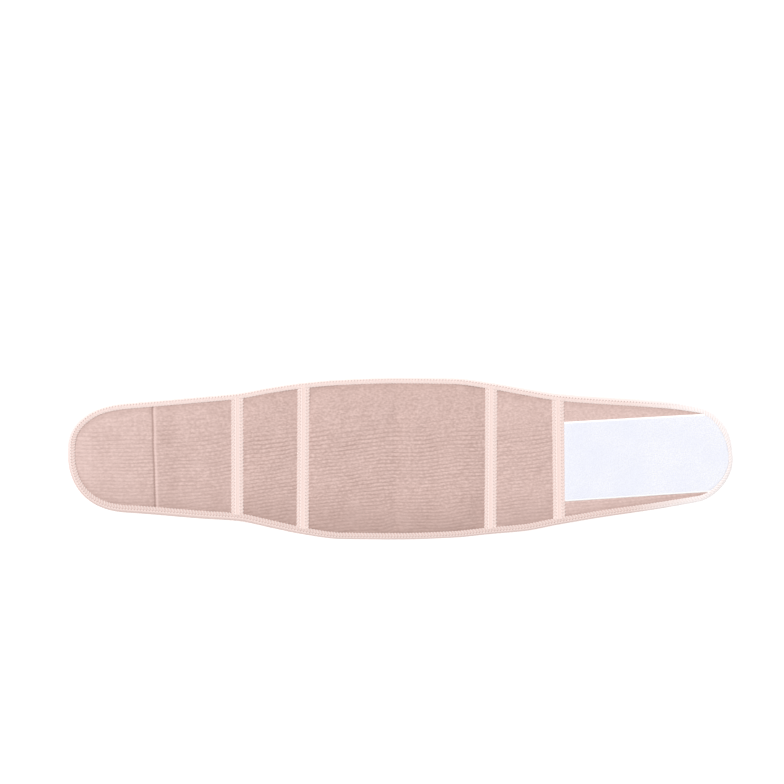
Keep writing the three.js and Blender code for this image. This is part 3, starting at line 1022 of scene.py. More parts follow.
@dataclass(frozen=True)
class Settling:
    """How a panel's cloth settles between its seams.

    Attributes:
        growth: Spare cloth in the panel, as a share of its size.
        pressure: Lift of the padding behind it.
        reach: Furthest that a point may move.
        frames: Steps of the simulation.
    """

    growth: float
    pressure: float
    reach: float
    frames: int = 20

    def settle(self, holder: bpy.types.Object, pinned: Sequence[int]) -> None:
        """Lets the cloth of an object settle, and keeps the result in its mesh.

        Args:
            holder: The object, with its face up.
            pinned: Vertices that stay where they are.
        """
        scene = bpy.context.scene
        group = holder.vertex_groups.new(name="seam")
        group.add(list(pinned), 1.0, "REPLACE")
        cloth = holder.modifiers.new("cloth", "CLOTH")
        settings = cloth.settings
        settings.vertex_group_mass = group.name
        settings.quality = 6
        settings.mass = 0.15
        settings.bending_stiffness = 0.3
        settings.shrink_min = -self.growth
        settings.use_pressure = True
        settings.uniform_pressure_force = self.pressure
        settings.effector_weights.gravity = 0
        cloth.collision_settings.use_collision = False
        cloth.point_cache.frame_end = self.frames
        for step in range(1, self.frames + 1):
            scene.frame_set(step)
        settled = holder.evaluated_get(bpy.context.evaluated_depsgraph_get()).data
        count = len(holder.data.vertices)
        start, end = np.empty(count * 3), np.empty(count * 3)
        holder.data.vertices.foreach_get("co", start)
        settled.vertices.foreach_get("co", end)
        move = (end - start).reshape(-1, 3)
        far = np.linalg.norm(move, axis=1, keepdims=True)
        kept = start.reshape(-1, 3) + move * np.minimum(1, self.reach / np.maximum(far, 1e-9))
        holder.modifiers.remove(cloth)
        holder.data.vertices.foreach_set("co", kept.ravel())
        scene.frame_set(1)


@dataclass(frozen=True)
class Panel:
    """A panel of cloth between two tapes, or between a tape and a rounded end.

    Attributes:
        stretch: The stretch that it covers.
        crown: How high its middle stands over its seams.
        settling: How its cloth settles.
        cell: Length along the belt of the cloth's cells before they are subdivided, and their height.
        ramp: Distance from a seam at which the crown is full.
        face: The face that it is on.
        levels: Times that the settled cloth is subdivided.
        held: How far the cloth may stand over its own seam.
        steepest: How fast it may rise from there.
        looseness: Depth of the loose places that it starts with.
        least: Thickness that it keeps everywhere.
    """

    stretch: Stretch
    crown: float
    settling: Settling
    cell: tuple[float, float]
    ramp: float = 26 * MM

    face = Face.OUTER
    levels = 2
    held = 0.1 * MM
    steepest = 0.35
    looseness = 0.25 * MM
    least = 0.3 * MM

    @property
    def name(self) -> str:
        """Name of the panel's solid."""
        return f"knit_{self.stretch.value}"

    def fullness(self, x: Array, ends: Array, sides: Array) -> Array:
        """Share of the crown at places on the panel."""
        return shoulder(ends, self.ramp) * shoulder(sides, self.ramp)

    def relief(self, x: Array, y: Array, ends: Array, sides: Array) -> Array:
        """Small forms of the surface, as heights over the settled cloth."""
        raise NotImplementedError

    def chart(self, bm: bmesh.types.BMesh, x: Array, y: Array) -> None:
        """Gives the mesh the UV map that its finish reads."""
        raise NotImplementedError

    def height(self) -> float:
        """Height of the panel at its tallest section."""
        return PLAN.half_height * max(s.top + s.bottom for s in SECTIONS if s.on is self.stretch)

    def settled(self, cloth_map: PanelMap) -> tuple[bmesh.types.BMesh, float]:
        """Lays the cloth over its crown, lets it settle and subdivides it.

        Args:
            cloth_map: Where the panel's cloth lies.

        Returns:
            The cloth as heights over its seams, and its area before it settled.
        """
        start, end = PLAN.spans[self.stretch]
        columns, rows = round((end - start) / self.cell[0]), round(self.height() / self.cell[1])
        bm, along, across = grid_bmesh(columns, rows)
        x, y = cloth_map.places(along, across)
        ends, sides = cloth_map.from_trims(self.face, x, y)
        crown = self.crown * self.fullness(x, ends, sides)
        inner = np.clip(np.minimum(ends, sides) / max(self.cell), 0, 1)
        loose = self.looseness * ripple(x, y, 17 * MM, 3.0 + start) * inner
        set_places(bm, x, y, crown + loose)
        bm.verts.index_update()
        flat_area = area_of(bm)
        pinned = [v.index for v, e, s in zip(bm.verts, ends, sides) if v.is_boundary or min(e, s) < 0]
        mesh = bpy.data.meshes.new("cloth")
        bm.to_mesh(mesh)
        bm.free()
        holder = bpy.data.objects.new("cloth", mesh)
        bpy.context.scene.collection.objects.link(holder)
        self.settling.settle(holder, pinned)
        finer = holder.modifiers.new("finer", "SUBSURF")
        finer.levels = finer.render_levels = self.levels
        finer.boundary_smooth = "PRESERVE_CORNERS"
        fine = bpy.data.meshes.new_from_object(holder.evaluated_get(bpy.context.evaluated_depsgraph_get()))
        bpy.data.objects.remove(holder)
        bpy.data.meshes.remove(mesh)
        bm = bmesh.new()
        bm.from_mesh(fine)
        bpy.data.meshes.remove(fine)
        return bm, flat_area

    def build(self, material: bpy.types.Material) -> bpy.types.Object:
        """Makes the panel, with its face dressed and its back closed.

        Args:
            material: The cloth's finish.

        Returns:
            The finished piece.
        """
        cloth_map = PanelMap(self.stretch)
        bm, flat_area = self.settled(cloth_map)
        x, y, lift = np.array([v.co for v in bm.verts]).T
        ends, sides = cloth_map.from_trims(self.face, x, y)
        lift = lift + self.relief(x, y, ends, sides)
        self.chart(bm, x, y)
        edge, back = PLAN.base(self.face), PLAN.backs[self.face]
        room = (edge - back) * self.face.value
        highest = self.held + self.steepest * np.clip(np.minimum(ends, sides), 0, None)
        lift = np.clip(lift, self.least - room, highest)
        if self.face is Face.INNER:
            above_floor = np.clip(self.fullness(x, ends + self.ramp, sides + self.ramp), 0, 1)
            lift = np.minimum(lift, edge * above_floor)
        set_places(bm, x, y, edge + self.face.value * lift)
        close_behind(bm, back)
        piece = finish_piece(bm, f"{self.name}_cloth", material, [self.name])
        start, end = PLAN.spans[self.stretch]
        declare_sheet((end - start, self.height()), flat_area)
        return piece


def hook_line(y: Array) -> Array:
    """X of the seam that holds the hook patch's edge, which slants a little and wanders."""
    return PLAN.hook_edge + 0.4 * MM - PLAN.HOOK_SLANT * y + 0.5 * MM * ripple(0 * y, y, 30 * MM, 6.0)


@dataclass(frozen=True)
class KnitPanel(Panel):
    """A panel of ribbed knit on the outer face.

    Attributes:
        ribs: Course of its ribs.
        rib_depth: Depth of the lines between them.
        groove_depth: Depth of the groove along the hook patch's seam.
        fold_at: Distance from the hook end of the faint fold over the hook patch.
        crease_share: Place of the centre panel's upright crease, as a share of the panel.
        shaded: Share of the panel's height, from the bottom, that is in shade.
        rib_pull: How far the ribs are drawn up where the crease crosses them.
        fade: Distance over which the shade and the ribs fade near the top.
        crease_dips: Depth and width of the crease's sharp middle and of its soft sides.
    """

    ribs: RibCourse = RibCourse()
    rib_depth: float = 0.34 * MM
    groove_depth: float = 1.1 * MM
    fold_at: float = 31 * MM
    crease_share: float = 0.492
    shaded: float = 0.34
    rib_pull: float = 3.2 * MM
    fade: float = 42 * MM
    crease_dips: tuple[tuple[float, float], ...] = ((0.5 * MM, 3.4 * MM), (0.7 * MM, 11 * MM))

    def strength(self, x: Array, y: Array) -> Array:
        """How strongly the ribs show: weak along the top, and uneven elsewhere."""
        top = ease((0.62 * PLAN.half_height - y) / self.fade)
        patchy = 0.85 + 0.45 * ripple(x, y, 24 * MM, 9.0) + 0.4 * ripple(x, y, 9 * MM, 10.0)
        return (0.15 + 0.85 * top) * np.clip(patchy, 0.1, 1.6)

    def from_crease(self, x: Array, y: Array) -> Array:
        """Distance along the belt from the upright crease of the centre panel."""
        return x - PLAN.along(self.stretch, self.crease_share) + 0.8 * MM * ripple(x, y, 80 * MM, 8.0)

    def count(self, x: Array, y: Array) -> Array:
        """Counts the ribs, which are drawn up to the crease near the bottom of the centre panel."""
        if self.stretch is Stretch.CENTRE:
            low = ease((-0.4 * PLAN.half_height - y) / (32 * MM))
            y = y - self.rib_pull * valley(self.from_crease(x, y), 0, 9 * MM) * low
        return self.ribs.phase(x, y, PLAN.along(self.stretch, 0.5))

    def relief(self, x: Array, y: Array, ends: Array, sides: Array) -> Array:
        """Ribs, the stitched groove of the hook patch, fold lines and the pull of the seams."""
        count = self.count(x, y)
        groove = (0.5 + 0.5 * np.cos(2 * math.pi * count)) ** 3
        lift = -self.rib_depth * self.strength(x, y) * groove
        lift += 0.13 * MM * ripple(x, y, 3.0 * MM, 1.0) + 0.12 * MM * ripple(x, y, 8 * MM, 2.0)
        lift += 0.35 * MM * ripple(x, y, 60 * MM, 4.0) * shoulder(np.minimum(ends, sides), 20 * MM)
        lift -= 0.22 * MM * valley(ends, 0.4 * MM, 1.4 * MM) + 0.22 * MM * valley(sides, 0.4 * MM, 1.4 * MM)
        if self.stretch is Stretch.HOOK_WING:
            off = x - hook_line(y)
            lift -= self.groove_depth * np.where(off < 0, valley(off, 0, 1.1 * MM), valley(off, 0, 2.4 * MM))
            lift += 0.35 * MM * valley(off, 4.2 * MM, 3.2 * MM)
            fold = x - PLAN.hook_end - self.fold_at + 1.2 * MM * ripple(x, y, 50 * MM, 7.0)
            lift += 0.18 * MM * valley(fold, 0, 1.8 * MM)
        if self.stretch is Stretch.CENTRE:
            crease = self.from_crease(x, y)
            dip = sum(depth * valley(crease, 0, width) for depth, width in self.crease_dips)
            lift -= dip * ease((sides - 1 * MM) / (8 * MM))
        return lift

    def chart(self, bm: bmesh.types.BMesh, x: Array, y: Array) -> None:
        """Gives the mesh its rib count, its stitches along the ribs, how strongly the ribs show, its darker
        lower part, painted shade along the hook patch's seam and beside the binding, and painted highlight
        beside the seam.
        """
        count = self.count(x, y)
        bottom, top = PLAN.openings(Face.OUTER, x)
        tallness = (top - bottom) / (2 * PLAN.half_height)
        shade = ease(1 - (y - bottom) / (self.shaded * (top - bottom)))
        if self.stretch is not Stretch.HOOK_WING:
            shade = shade + 0.2 * ease((y - 0.4 * PLAN.half_height) / self.fade)
        bm.verts.index_update()
        set_uv(bm, "rib", x / KnitFinish.stitch, count)
        set_uv(bm, "tone", self.strength(x, y), shade * tallness)
        # Painted shade in the seam's groove, in soft hollows near it and beside the binding; painted
        # highlight on the groove's far wall.
        off = x - hook_line(y) if self.stretch is Stretch.HOOK_WING else np.full_like(x, 1.0)
        painted_seam_shade = 0.6 * valley(off, -0.4 * MM, 1.2 * MM) + 0.12 * valley(off, 20 * MM, 9 * MM)
        painted_seam_shade += 0.08 * valley(off, 84 * MM, 14 * MM)
        painted_seam_shade = np.clip(painted_seam_shade + 0.26 * valley(np.minimum(y - bottom, top - y), 0, 5.5 * MM), 0, 1)
        set_uv(bm, "seam", painted_seam_shade, 0.55 * valley(off, 2.3 * MM, 1.5 * MM))


@dataclass(frozen=True)
class Gather:
    """A gather under the inner binding: its place, reach and depth, as shares."""

    share: float
    reach: float
    depth: float


GATHERS = (
    Gather(0.815, 0.7, 0.8), Gather(0.775, 1.0, 1.0), Gather(0.730, 0.8, 0.9), Gather(0.690, 0.6, 0.7),
    Gather(0.585, 0.8, 0.7), Gather(0.520, 0.9, 0.8), Gather(0.450, 0.7, 0.6),
)


@dataclass(frozen=True)
class VelourPanel(Panel):
    """A panel of velour on the inner face.

    Attributes:
        gather_reach: How far the gathers run up from the lower binding.
        gather_depth: Depth of the deepest gather.
        gather_width: Width of a gather.
        sewn_line: Distance of the loop patch's sewn lines from its middle line.
    """

    face = Face.INNER
    gather_reach: float = 22 * MM
    gather_depth: float = 0.9 * MM
    gather_width: float = 2.6 * MM
    sewn_line: float = 45 * MM

    @property
    def name(self) -> str:
        """Name of the panel's solid."""
        return f"velour_{self.stretch.value}"

    def fullness(self, x: Array, ends: Array, sides: Array) -> Array:
        """Share of the crown, with none under the hook patch."""
        share = super().fullness(x, ends, sides)
        return share * shoulder(x - PLAN.hook_edge, 8 * MM) if self.stretch is Stretch.HOOK_WING else share

    def relief(self, x: Array, y: Array, ends: Array, sides: Array) -> Array:
        """Nap, gathers, the sewn lines of the patches, ripples and crumples."""
        lift = 0.12 * MM * ripple(x, y, 6 * MM, 11.0) + 0.05 * MM * ripple(x, y, 2.6 * MM, 12.0)
        inner = shoulder(np.minimum(ends, sides), 20 * MM)
        lift += 0.3 * MM * ripple(x + 0.5 * y, y - 0.3 * x, 26 * MM, 13.0) * inner
        lift -= 0.4 * MM * valley(ends, 0.4 * MM, 1.8 * MM) + 0.3 * MM * valley(sides, 0.4 * MM, 1.6 * MM)
        if self.stretch is Stretch.CENTRE:
            lift -= self.gather_depth * self.gathered(x, y)
            from_tape = x - PLAN.along(self.stretch, 0) - PLAN.tape_half
            lift += 0.5 * MM * valley(from_tape, 7 * MM, 7 * MM) * ripple(0.35 * x, y, 9 * MM, 15.0)
        if self.stretch is Stretch.LOOP_WING:
            off = np.abs(y - LoopPatch.middle(x)) - self.sewn_line
            lift += 0.35 * MM * valley(off, -1.5 * MM, 1.5 * MM) - 0.5 * MM * valley(off, 0.6 * MM, 1.1 * MM)
            lift += 0.5 * MM * self.rippled(x, y, off) + 0.6 * MM * self.crumpled(x, y)
        if self.stretch is Stretch.HOOK_WING:
            lift -= 0.5 * MM * valley(x, PLAN.hook_edge + 1 * MM, 2 * MM)
        return lift

    def gathered(self, x: Array, y: Array) -> Array:
        """Depth of the gathers along the lower binding, as a share."""
        low = PLAN.opening(Face.INNER, Side.BOTTOM, x)
        depth = np.zeros_like(x)
        for gather in GATHERS:
            at = PLAN.along(self.stretch, gather.share)
            fade = ease(1 - (y - low) / (self.gather_reach * gather.reach))
            bend = 2.5 * MM * ripple(x, y, 18 * MM, at * 1000)
            beside = valley(x + bend, at + 4 * MM, self.gather_width)
            fold = valley(x + bend, at, self.gather_width) - 0.6 * beside
            depth += gather.depth * fold * fade
        return depth

    def rippled(self, x: Array, y: Array, off: Array) -> Array:
        """Slanting ripples in the strips beyond the sewn lines, near the tape."""
        strip = ease(off / (4 * MM)) * ease((PLAN.along(self.stretch, 0.3) - x) / (40 * MM))
        return strip * np.sin(2 * math.pi * (x + 0.6 * y) / (11 * MM))

    def crumpled(self, x: Array, y: Array) -> Array:
        """Crumples at the rounded end."""
        return ease((x - PLAN.loop_end + 44 * MM) / (20 * MM)) * ripple(0.4 * x, y, 7 * MM, 14.0)

    def chart(self, bm: bmesh.types.BMesh, x: Array, y: Array) -> None:
        """Gives the mesh its lighter ground between the sewn lines, painted shade in its creases, gathers,
        ripples, crumples and at the hook patch's edge, and darker strips beyond the sewn lines.
        """
        raised, painted_crease_shade = 0 * x, 0 * x
        # Painted shade in the gathers, the sewn lines' grooves, the ripples, the crumples and at the hook
        # patch's edge.
        if self.stretch is Stretch.CENTRE:
            painted_crease_shade = 0.8 * np.clip(self.gathered(x, y), 0, 1)
        if self.stretch is Stretch.LOOP_WING:
            off = np.abs(y - LoopPatch.middle(x)) - self.sewn_line
            raised = 0.55 * ease(-off / (1.5 * MM) + 0.5)
            painted_crease_shade = 0.5 * valley(off, 0.8 * MM, 0.9 * MM) + 0.3 * ease(off / (2 * MM))
            painted_crease_shade += 0.3 * np.clip(-self.rippled(x, y, off), 0, 1)
            painted_crease_shade += 0.45 * np.clip(-self.crumpled(x, y), 0, 1)
        if self.stretch is Stretch.HOOK_WING:
            painted_crease_shade = 0.7 * valley(x, PLAN.hook_edge + 0.8 * MM, 1.6 * MM)
        bm.verts.index_update()
        set_uv(bm, "tone", raised, np.clip(painted_crease_shade, 0, 1))


@dataclass(frozen=True)
class Stitching:
    """Zigzag stitching along an edge.

    Attributes:
        pitch: Length of a stitch along the edge.
        row: Distance of its inner needle holes from the edge.
        thread: Radius of the thread.
        edge: Height of the sewn edge over the cloth.
        turned: Distance in from the edge at which the thread leaves the tape's face to turn over it.
        pressed: How far the thread presses the stitched strip down.
        hole: Depth of a needle hole.
        stroke: Rise of the tape under a stroke of thread.
        scallop_depth: How far the edge draws in between two turns of the thread.
        scallop_reach: How far in from the edge that shows.
    """

    pitch: float
    row: float
    thread: float = 0.38 * MM
    edge: float = 0.45 * MM
    turned: float = 0.9 * MM
    pressed: float = 0.10 * MM
    hole: float = 0.2 * MM
    stroke: float = 0.08 * MM
    scallop_depth: float = 0.5 * MM
    scallop_reach: float = 2.4 * MM

    def off_stroke(self, share: Array, phase: Array) -> Array:
        """How far an inset, as a share of the row, is from the nearest slanting stroke at a phase."""
        slant = (phase - np.floor(phase) - TrimFinish.turn) / (1 - TrimFinish.turn)
        return np.minimum(np.abs(share - slant), np.abs(share - slant - 1 / (1 - TrimFinish.turn)))

    def height(self, inset: Array, row: Array, phase: Array) -> Array:
        """Relief of the stitched strip.

        Args:
            inset: Distances in from the stitched edge.
            row: Distances of the needle holes from it.
            phase: Stitches along the edge, with whole numbers at the needle holes.

        Returns:
            The height over the plain tape.
        """
        step = np.abs(phase - np.round(phase))
        pressed = -self.pressed * ease((row - inset) / (0.8 * MM) + 0.5)
        hole = -self.hole * np.exp(-(((inset - row) / (0.5 * MM)) ** 2) - (step / 0.13) ** 2)
        stroke = self.stroke * np.exp(-((self.off_stroke(inset / row, phase) / 0.2) ** 2)) * (inset < row)
        return pressed + hole + stroke

    def rise(self, inset: Array, row: Array, full: float) -> Array:
        """Height over the cloth: a rounded edge that the thread holds down, full past the needle holes."""
        rounded = np.sqrt(1 - (1 - np.clip(inset / self.edge, 0, 1)) ** 2)
        return self.edge * rounded + (full - self.edge) * ease(inset / row)

    def scallop(self, inset: Array, phase: Array) -> Array:
        """How far the edge draws in where the thread turns over it."""
        wave = 0.5 + 0.5 * np.cos(2 * math.pi * (phase - TrimFinish.turn))
        return self.scallop_depth * (1 - wave) * np.clip(1 - inset / self.scallop_reach, 0, 1)

    def route(self, count: int, place: Callable[[float, float, float], Array]) -> list[Array]:
        """Points of the slanting strokes; between two of them the thread runs behind the tape.

        Args:
            count: Number of stitches.
            place: Gives a point from an inset as a share of the row, a phase, and a height over the tape.

        Returns:
            The points of each stroke, from the edge to the needle hole.
        """
        turn = TrimFinish.turn
        steps = [(0.0, turn - 0.06, -0.5 * MM), (0.04, turn, 0.0)]
        steps += [(share, turn + (1 - turn) * share, 0.06 * MM) for share in (0.33, 0.66, 0.88)]
        steps += [(1.0, 1.0, -0.4 * MM)]
        return [
            np.array([place(share, stitch + at, over) for share, at, over in steps])
            for stitch in range(count)
        ]


@dataclass(frozen=True)
class Tape:
    """An upright tape over a joint between two panels.

    Attributes:
        index: Its place from the hook end, from 1.
        face: The face that it is on.
        stitching: The zigzag along both its edges.
        columns: Cells across it.
        cell: Size of a cell along it.
        spread: How far the sewn edges stand beyond the tape's own width.
        thickness: How far its edges stand over the cloth.
        dome: Rise of the plain middle strip.
        under_binding: How far its ends go on under the binding.
        shift: Part of a stitch by which each tape's zigzag starts after the one before it.
        back: How far its back lies behind the face of the cloth.
    """

    index: int
    face: Face
    stitching: Stitching = Stitching(pitch=4.2 * MM, row=4.4 * MM)
    columns: int = 28
    cell: float = 0.7 * MM
    spread: float = 0.55 * MM
    thickness: float = 0.75 * MM
    dome: float = 0.2 * MM
    under_binding: float = 2.5 * MM
    shift: float = 0.37
    back: float = 0.25 * MM

    @property
    def name(self) -> str:
        """Name of the tape's solid."""
        return f"{self.face.name.lower()}_tape_{self.index}"

    @property
    def half(self) -> float:
        """Half the width of the sewn tape."""
        return PLAN.tape_half + self.spread

    def ends(self, x: Array) -> tuple[Array, Array]:
        """Y of the tape's two ends, a little under the binding."""
        low, high = PLAN.openings(self.face, x)
        return low - self.under_binding, high + self.under_binding

    def lift(self, inset: Array, phase: Array) -> Array:
        """Height over the cloth at distances in from the tape's edge."""
        row = self.stitching.row
        body = self.stitching.rise(inset, row, self.thickness)
        middle = self.half - inset
        dome = self.dome * np.clip(1 - (middle / (self.half - row)) ** 2, 0, 1)
        lines = 0.2 * MM * valley(middle, 0, 0.9 * MM) - 0.12 * MM * valley(middle, 1.9 * MM, 0.6 * MM)
        return body + dome - lines + self.stitching.height(inset, row, phase)

    def phase(self, side: Array, y: Array) -> Array:
        """Stitches along an edge: downwards on the loop side, and upwards on the hook side."""
        return -side * y / self.stitching.pitch + self.shift * self.index

    def place(self, x: Array, y: Array, lift: Array, floor: float = 0.02 * MM) -> tuple[Array, Array, Array]:
        """Places points on the tape's face, leaning as the tape does, and no lower than the given height."""
        z = np.maximum(PLAN.base(self.face) + self.face.value * lift, floor)
        return x + PLAN.lean(self.index, y), y, z

    def build(self, material: bpy.types.Material, thread: bpy.types.Material) -> list[bpy.types.Object]:
        """Makes the tape and its thread.

        Args:
            material: The tape's finish.
            thread: The thread's finish.

        Returns:
            The tape and the thread.
        """
        middle = PLAN.seams[self.index - 1]
        low, high = self.ends(np.array([middle]))
        bm, along, across = grid_bmesh(self.columns, round(float(high[0] - low[0]) / self.cell))
        x = middle + self.half * (2 * along - 1)
        low, high = self.ends(x)
        y = low + (high - low) * across
        side = np.where(x > middle, 1.0, -1.0)
        inset = self.half - np.abs(x - middle)
        phase = self.phase(side, y)
        bm.verts.index_update()
        set_places(bm, x, y, 0 * x)
        both = self.phase(-1, y), self.phase(1, y)
        set_sided_uv(bm, "trim", inset / self.stitching.row, both, middle)
        drawn = self.stitching.scallop(inset, phase) * side
        set_places(bm, *self.place(x - drawn, y, self.lift(inset, phase)))
        close_behind(bm, PLAN.base(self.face) - self.face.value * self.back)
        piece = finish_piece(bm, f"{self.name}_weave", material, [self.name])

        paths = []
        count = math.floor(float(high.min() - low.max()) / self.stitching.pitch) - 1
        for sign in (-1, 1):
            ends = self.phase(sign, low.max()), self.phase(sign, high.min())
            start = math.ceil(min(ends))

            def point(share: float, at: float, over: float) -> Array:
                """A point of the thread on this edge."""
                inset, phase = np.array(share * self.stitching.row), np.array(start + at)
                y = -(phase - self.shift * self.index) * self.stitching.pitch * sign
                height = self.lift(np.maximum(inset, self.stitching.turned), phase) + over
                drawn = self.stitching.scallop(inset, phase)
                x = middle + sign * (self.half - inset - drawn)
                return np.array(self.place(x, y, height, self.stitching.thread))
            paths.extend(self.stitching.route(count, point))
        mesh = thread_mesh("thread", paths, self.stitching.thread)
        return [piece, place_mesh(mesh, f"{self.name}_thread", thread)]


@dataclass(frozen=True)
class EdgeBinding:
    """The folded binding round the whole edge, with a flange on each face.

    Attributes:
        stitching: The zigzag along the inner edge of each flange.
        steps: Cells for each stitch along the edge.
        fold: Depth of the rounded fold.
        joint: Place of the joint across the belt, at the loop end.
        flange_columns: Cells across a flange.
        fold_columns: Cells round the fold.
        pinched: Most of the flange's width that the stitched strip takes, as a share.
        full: Height of a flange over the cloth, past its stitched strip.
        fall: How far it falls from there towards the fold.
        tape_rise: How far it rises where it crosses a tape.
        joint_swell: How much wider it is at the joint.
        fullness: How far the fold stands out past the outline everywhere.
        top_fullness: How much further it stands out along the top.
        corner_fullness: How much further it stands out at the upper corner of the loop end.
        corner: Place along and across the belt from which that corner fills out.
        corner_ramp: Distances along and across it over which it does.
        top_ramp: Distance across the belt over which the top fills out.
        fold_power: How square the fold's section is.
        hidden: Distance in from the outline of the fold's inner side.
    """

    stitching: Stitching = Stitching(pitch=3.9 * MM, row=4.9 * MM)
    steps: int = 5
    fold: float = 3.0 * MM
    joint: float = 2 * MM
    flange_columns: int = 11
    fold_columns: int = 8
    pinched: float = 0.68
    fullness: float = 0.45 * MM
    top_fullness: float = 0.4 * MM
    corner_fullness: float = 1.3 * MM
    corner: tuple[float, float] = (312 * MM, 8 * MM)
    corner_ramp: tuple[float, float] = (44 * MM, 28 * MM)
    top_ramp: float = 30 * MM
    fold_power: float = 2.2
    hidden: float = 1.4 * MM
    full: float = 0.8 * MM
    fall: float = 0.4 * MM
    tape_rise: float = 0.3 * MM
    joint_swell: float = 0.9 * MM

    def filled(self, points: Array, width: Array, depth: Array) -> Array:
        """Moves places outwards to the binding's full edge, less and less towards its stitched edge.

        Args:
            points: Stations round the outline.
            width: Widths of the outer flange.
            depth: Distances in from the outline.

        Returns:
            The new distances.
        """
        x, y = points[:, 0:1], points[:, 1:2]
        corner = ease((x - self.corner[0]) / self.corner_ramp[0])
        corner = corner * ease((y - self.corner[1]) / self.corner_ramp[1])
        out = self.fullness + self.top_fullness * ease(y / self.top_ramp) + self.corner_fullness * corner
        return depth - out * np.clip(1 - depth / width, 0, 1)

    def stations(self) -> tuple[Array, Array, Array, Array]:
        """Points round the outline at even steps, with their inward normals, and the phase of the stitches.

        Returns:
            Points, inward normals, widths of the outer flange, and phases.
        """
        ring = np.concatenate([PLAN.ring, PLAN.ring[:1]])
        normal = np.concatenate([PLAN.inward, PLAN.inward[:1]])
        run = np.concatenate([[0], np.cumsum(np.linalg.norm(np.diff(ring, axis=0), axis=1))])
        count = round(run[-1] / self.stitching.pitch) * self.steps
        turn = run[int(np.argmax(ring[:, 0]))]
        at = (turn + self.joint + run[-1] * np.arange(count) / count) % run[-1]
        points = np.stack([np.interp(at, run, ring[:, i]) for i in (0, 1)], axis=1)
        inward = np.stack([np.interp(at, run, normal[:, i]) for i in (0, 1)], axis=1)
        inward /= np.linalg.norm(inward, axis=1, keepdims=True)
        width = PLAN.binding_width(Face.OUTER, points[:, 0], points[:, 1])
        cells = np.minimum(np.arange(count), count - np.arange(count))
        from_joint = cells * self.stitching.pitch / self.steps
        width = width + self.joint_swell * valley(from_joint, 0, 3 * MM)
        return points, inward, width, np.arange(count) / self.steps

    def flange(self, face: Face, width: Array, inset: Array, points: Array, phase: Array) -> Array:
        """Height of a flange at distances in from its stitched edge.

        Args:
            face: The face that it is on.
            width: Widths of the flange.
            inset: Distances in from the stitched edge.
            points: Stations round the outline.
            phase: Stitches along the edge.

        Returns:
            The height in the belt's frame.
        """
        row = np.minimum(self.stitching.row, self.pinched * width)
        body = self.stitching.rise(inset, row, self.full)
        falling = self.fall * ease((inset - 0.8 * MM) / (4.5 * MM))
        from_seams = (np.abs(points[:, 0:1] - seam) for seam in PLAN.seams)
        over_tape = sum(ease((PLAN.tape_half + 2 * MM - off) / (2.5 * MM)) for off in from_seams)
        lift = body - falling + self.stitching.height(inset, row, phase) + self.tape_rise * over_tape
        lift = lift + 0.06 * MM * ripple(points[:, 0:1] + 0 * inset, points[:, 1:2] + inset, 7 * MM, 21.0)
        z = PLAN.base(face) + face.value * lift
        return z if face is Face.OUTER else np.maximum(z, 0.0)

    def section(self, points: Array, width: Array, phase: Array) -> tuple[Array, Array, Array]:
        """Works out the binding's closed section at every station.

        It runs in over the outer flange, round the fold, back over the inner flange and behind the cloth.

        Args:
            points: Stations round the outline.
            width: Widths of the outer flange.
            phase: Stitches along the edge.

        Returns:
            Distances in from the outline, heights, and distances from the stitched edge as shares of the
            stitched strip, each with a row for every station.
        """
        outer, inner = width[:, None], np.full((len(width), 1), PLAN.INNER_BINDING)
        even = 0 * outer
        step = phase[:, None]
        share = np.linspace(0, 1, self.flange_columns)[None, :] ** 1.15
        depth, height, chart = [], [], []

        def add(face: Face, wide: Array, along: Array) -> None:
            """Adds one flange to the section."""
            inset = (wide - self.fold) * along
            depth.append(wide - inset - self.stitching.scallop(inset, step))
            height.append(self.flange(face, wide, inset, points, step))
            chart.append(inset / np.minimum(self.stitching.row, self.pinched * wide))

        add(Face.OUTER, outer, share)
        top = height[0][:, -1:]
        angle = np.linspace(math.pi / 2, -math.pi / 2, self.fold_columns + 2)[None, 1:-1]
        power = 2 / self.fold_power
        depth.append(self.fold * (1 - np.abs(np.cos(angle)) ** power) + even)
        height.append(top / 2 + top / 2 * np.sign(np.sin(angle)) * np.abs(np.sin(angle)) ** power)
        turned = np.minimum(np.arange(self.fold_columns), np.arange(self.fold_columns)[::-1]) + 1
        chart.append(chart[0][:, -1:] + 0.25 * turned[None, :])
        add(Face.INNER, inner, share[:, ::-1])
        inside = even + self.hidden
        depth.append(np.concatenate([inner, inside, inside, outer - 0.3 * MM], axis=1))
        lower, upper = even + PLAN.velour_edge + 0.1 * MM, even + PLAN.knit_edge - 0.1 * MM
        height.append(np.concatenate([lower, lower, upper, upper], axis=1))
        chart.append(np.zeros_like(depth[-1]))
        depth, height, chart = (np.concatenate(part, axis=1) for part in (depth, height, chart))
        return self.filled(points, outer, depth), height, chart

    def build(self, material: bpy.types.Material, thread: bpy.types.Material) -> list[bpy.types.Object]:
        """Makes the binding and the thread on both its faces.

        Args:
            material: The binding's finish.
            thread: The thread's finish.

        Returns:
            The binding and its threads.
        """
        points, inward, width, phase = self.stations()
        depth, height, chart = self.section(points, width, phase)
        stations, section = depth.shape
        bm, along, across = grid_bmesh(stations, section)
        i, j = np.round(along * stations).astype(int), np.round(across * section).astype(int)
        bm.verts.index_update()
        set_uv(bm, "trim", chart[i % stations, j % section], i / self.steps)
        i, j = i % stations, j % section
        place = points[i] + inward[i] * depth[i, j][:, None]
        set_places(bm, place[:, 0], place[:, 1], height[i, j])
        bmesh.ops.remove_doubles(bm, verts=bm.verts, dist=1e-7)
        bmesh.ops.recalc_face_normals(bm, faces=bm.faces)
        made = [finish_piece(bm, "edge_binding_weave", material, ["edge_binding"])]

